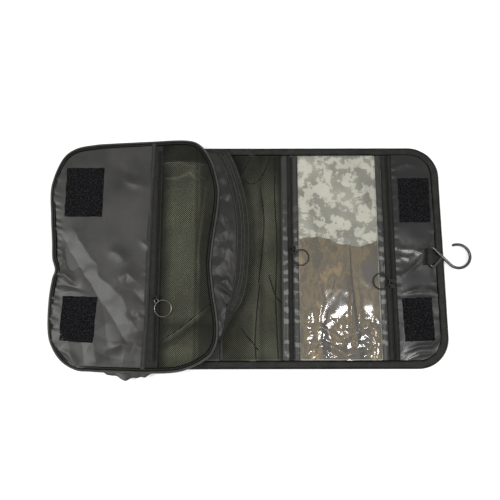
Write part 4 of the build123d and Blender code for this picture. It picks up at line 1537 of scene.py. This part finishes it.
def pleat_tape(name, o0, o1, z0, z1, body, node, mat=TAPE):
    v = np.linspace(-94, 110, 240)
    a = apex(v)
    slope = np.gradient(a, v)
    nx, ny = 1 / np.sqrt(1 + slope**2), -slope / np.sqrt(1 + slope**2)
    U = np.linspace(0, 1, 26)[:, None]
    taper = np.interp(v, [-94, -80, -62, -48], [0.08, 0.14, 0.58, 1.0])
    off = (o0 + (o1 - o0) * U) * taper[None]
    X = a[None] + off * nx[None]
    Y = v[None] + off * ny[None]
    Z = z0 + (z1 - z0) * U + 0.14 * np.sin(off * 2 * math.pi / 1.5) + 0.35 * fbm(v, v * 0, 18, 733, 2)[None]
    obj = cloth(name, np.stack([X, Y, Z], 2), 0.6, mat, body)
    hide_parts(node)
    rows = []
    for o in (o0 + 1.1 * np.sign(o1 - o0), o1 - 1.2 * np.sign(o1 - o0)):
        t = (o - o0) / (o1 - o0)
        rows.append(
            np.column_stack(
                [
                    a + o * taper * nx,
                    v + o * taper * ny,
                    z0 + (z1 - z0) * t + 0.35 * fbm(v, v * 0, 18, 733, 2) + 0.12,
                ]
            )
        )
    stitches(name + "_stitches", [r[40:-3] for r in rows], PALE_THREAD, body, 2.2, 1.7, 0.45, 0.3)
    return obj


pleat_tape("pleat_tape_up", -7.0, -0.25, 15.6, 14.3, "pleat_up", "pleat_up_tape")
pleat_tape("pleat_tape_low", 0.25, 7.2, 14.1, 12.2, "pleat_low", "pleat_low_tape")
v = np.linspace(-90, 107, 170)
pts = np.column_stack([apex(v), v, 13.4 + 0.35 * fbm(v, v * 0, 18, 733, 2)])
tubes("pleat_seam", [pts], 0.75, BLACK, "pleat_low", 8)
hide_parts("pleat_coil")

v = np.linspace(-80, 108, m)
inner_x = np.full(m, FOLD_1 - 2.5)
outer_x = np.maximum(apex(v) + 6.2 * np.interp(v, [-80, -62, -48], [0.1, 0.5, 1.0]), inner_x + 0.6)
U = np.linspace(0, 1, 40)[:, None]
X = inner_x[None] + (outer_x - inner_x)[None] * U
Y = np.broadcast_to(v[None], X.shape)
Z = 3.6 + 8.0 * U**0.85 + 0.5 * fbm(X, Y, 26, 741, 2) * np.sin(U * math.pi)
under = cloth("gusset_under", np.stack([X, Y, Z], 2), 0.6, NYLON, None)
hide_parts("pleat_low_leaf")
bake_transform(under)


def wall_path(inset):
    """The three closed sides of the compartment, from the fold side round the left end and back."""
    r = 26.0
    x_end, x_left, h = -66.0, LEFT + 2 + inset, HALF - 4 - inset
    top = np.stack([np.linspace(x_end, x_left + r, 70), np.full(70, h)], 1)
    a = np.radians(np.linspace(90, 180, 20))
    arc = np.stack([x_left + r + r * np.cos(a), h - r + r * np.sin(a)], 1)
    side = np.stack([np.full(50, x_left), np.linspace(h - r, 0, 50)], 1)
    p = np.concatenate([top, arc[1:], side[1:]])
    return resample(np.concatenate([p, p[::-1][1:] * (1, -1)]), step=1.6)


WALL = wall_path(0.0)
WALL = resample(np.stack(hug(WALL[:, 0], WALL[:, 1]), 1), step=1.6)
WALL_IN = plan_normals(WALL)
if WALL_IN[len(WALL) // 2, 0] < 0:
    WALL_IN = -WALL_IN
S = np.arange(len(WALL)) * 1.6
side_y = np.array(
    [
        np.abs(nearest(OUTLINE[OUTLINE[:, 1] * g > 60], np.array([x, g * 118.0]))[1])
        for x, g in zip(WALL[:, 0], np.sign(WALL[:, 1] + 1e-9))
    ]
)
WALL_UP = WALL.copy()
high_part = (WALL[:, 0] > -110) & (np.abs(WALL[:, 1]) > 60)
WALL_UP[high_part, 1] = np.sign(WALL[high_part, 1]) * np.minimum(
    np.abs(WALL[high_part, 1]), side_y[high_part] - 3.2
)


def bulge_at(x, y):
    """How far the wall bellies out below the lid's lower edge, at a place along it."""
    lobe = 9.4 * smooth((x + 204) / 22) * smooth((-96 - x) / 26)
    for place, wide, out in ((-142, 9, 6.0), (-161, 7, 2.6), (-124, 12, 3.0)):
        lobe = lobe + out * np.exp(-(((x - place) / wide) ** 2))
    lobe = lobe + 1.3 * noise(x, x * 0, 5.0, 77) * smooth(lobe / 6)
    return lobe * (y < 0)


def wall_strip(
    name, z0, z1, out0, out1, mat, body, seed, keep, rows=12, thick=0.7, wave=1.0, belly=(0, 0)
):
    """A band of the gusset wall. Positive values lean outwards, and belly is the share of the bulge."""
    idx = np.flatnonzero(keep)
    p, q, s = (WALL_UP if body == "lid" else WALL)[idx], WALL_IN[idx], S[idx]
    U = np.linspace(0, 1, rows)[:, None]
    lobe = bulge_at(p[:, 0], p[:, 1])[None]
    round_part = np.sin(np.clip(U, 0, 1) * math.pi)
    out = out0 + (out1 - out0) * U + wave * round_part * (0.9 * fbm(s, s * 0, 26, seed, 3)[None] + 0.5)
    share = belly[0] + (belly[1] - belly[0]) * U
    if belly[0] == 0 and belly[1] > 0:
        share = share + 0.78 * round_part**0.8
    out = out + lobe * share * (1 + 0.16 * noise(s, s * 0, 6, 5)[None] * round_part)
    P = np.zeros((rows, len(idx), 3))
    P[..., :2] = p[None] - q[None] * out[..., None]
    P[..., 2] = z0 + (z1 - z0) * U + (0.22 * lobe * round_part if belly[1] > 0 and belly[0] == 0 else 0)
    back = P.copy()
    back[..., :2] += q[None] * thick
    return slab(name, P, back, mat, body, 70)


on_left = WALL[:, 0] < -194
w = wall_strip(
    "wall_low", 2.9, 9.2, -0.8, -1.2, NYLON, "base", 801, np.ones(len(WALL), bool), 24, wave=0.5,
    belly=(0, 0.25)
)
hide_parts("gusset_low")
w = wall_strip(
    "wall_up", 18.9, 20.6, -0.6, 0.6, NYLON, "lid", 802, np.ones(len(WALL), bool), wave=0.3
)
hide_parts("gusset_up")
hinge_cloth = wall_strip(
    "wall_hinge", 8.9, 19.2, -1.0, -0.6, NYLON, None, 803, on_left, rows=20, wave=0.6
)
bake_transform(hinge_cloth)
for sgn, word in ((1, "top"), (-1, "bottom")):
    keep = (WALL[:, 1] * sgn > 0) & (WALL[:, 0] > -196)
    w = wall_strip(
        "zip_low_" + word, 8.9, PART_LINE - 0.2, -0.9, 0.0, TAPE, "base", 811, keep, wave=0.2,
        thick=0.6, belly=(0.25, 0.0)
    )
    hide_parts("side_zip_low")
    w = wall_strip(
        "zip_up_" + word, PART_LINE + 0.2, 19.1, 0.0, -0.6, TAPE, "lid", 812, keep, wave=0.2,
        thick=0.6
    )
    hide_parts("side_zip_up")
    idx = np.flatnonzero(keep)
    for body, dz in (("base", -0.55), ("lid", 0.55)):
        line = (WALL_UP if body == "lid" else WALL)[idx]
        p = np.column_stack([line - WALL_IN[idx] * 0.45, np.full(len(idx), PART_LINE + dz)])
        tubes("teeth_" + body + "_" + word, [p], 0.5, BLACK, body, 6)

# floor lining inside the compartment
low, high = mm_box("base_lining")
xs = np.linspace(low[0], high[0], 120)
h = np.minimum(half_width(xs, BASE_CORNER, 0, BINDING), Y_END)
v = np.linspace(-1, 1, 160)
X, Y = hug(np.broadcast_to(xs[:, None], (120, 160)).copy(), h[:, None] * v[None])
Z = high[2] + 0.2 + 0.25 * fbm(X, Y, 30, 901, 3)
floor_cloth = slab(
    "compartment_floor", np.stack([X, Y, Z], 2), np.stack([X, Y, np.full_like(X, low[2])], 2), LINING,
    "base"
)
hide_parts("base_lining")

# ------------------------------------------------------------ metal and plastic carried over from the CAD
for node, mat in (
    ("hanging_hook", HOOK), ("lid_zip_ring", RING), ("mesh_zip_ring", RING_DARK),
    ("window_zip_ring", RING_DARK),
    ("lid_zip_slider", SLIDER), ("mesh_zip_slider", SLIDER), ("window_zip_slider", SLIDER),
    ("main_slider", SLIDER), ("main_pull", SLIDER), ("base_board", LINING),
):
    data = NODES[node].data
    data.materials.clear()
    data.materials.append(mat)
    for poly in data.polygons:
        poly.material_index = 0

# ------------------------------------------------------------ floor, light, camera

mat, tree, bsdf = nodes_of("floor_white")
bsdf.inputs["Base Color"].default_value = (0.93, 0.93, 0.93, 1)
bsdf.inputs["Roughness"].default_value = 0.9
bpy.ops.mesh.primitive_plane_add(size=12, location=(0, 0, -0.0002))
floor = bpy.context.object
floor.name = "floor"
floor.data.materials.append(mat)

bpy.context.scene.view_settings.view_transform = "Standard"
world = bpy.data.worlds.new("studio")
bpy.context.scene.world = world
world.use_nodes = True
world.node_tree.nodes["Background"].inputs["Color"].default_value = (1, 1, 1, 1)
world.node_tree.nodes["Background"].inputs["Strength"].default_value = 1.0


def area(name, at, aim, size, power):
    light = bpy.data.lights.new(name, "AREA")
    light.shape = "DISK"
    light.size = size
    light.energy = power
    obj = bpy.data.objects.new(name, light)
    obj.location = at
    d = np.array(aim, float) - np.array(at, float)
    from mathutils import Vector

    obj.rotation_euler = Vector(d).to_track_quat("-Z", "Y").to_euler()
    bpy.context.scene.collection.objects.link(obj)


area("key", (-1.0, -0.1, 1.5), (-0.1, 0, 0), 0.5, 12)
area("kicker", (0.36, -0.135, 1.17), (0.1, -0.09, 0), 0.24, 4.0)

# A scratch program fitted this place (metres) and turn (radians) to the reference.
CAMERA_PLACE = (-0.0143, -0.0813, 0.5332)
CAMERA_TURN = (0.16175, 0, -0.0019)
cam = bpy.data.cameras.new("camera")
cam.sensor_width = 36
cam.lens = 36
cam.clip_start = 0.01
camera = bpy.data.objects.new("camera", cam)
camera.location = CAMERA_PLACE
camera.rotation_euler = CAMERA_TURN
bpy.context.scene.collection.objects.link(camera)
bpy.context.scene.camera = camera
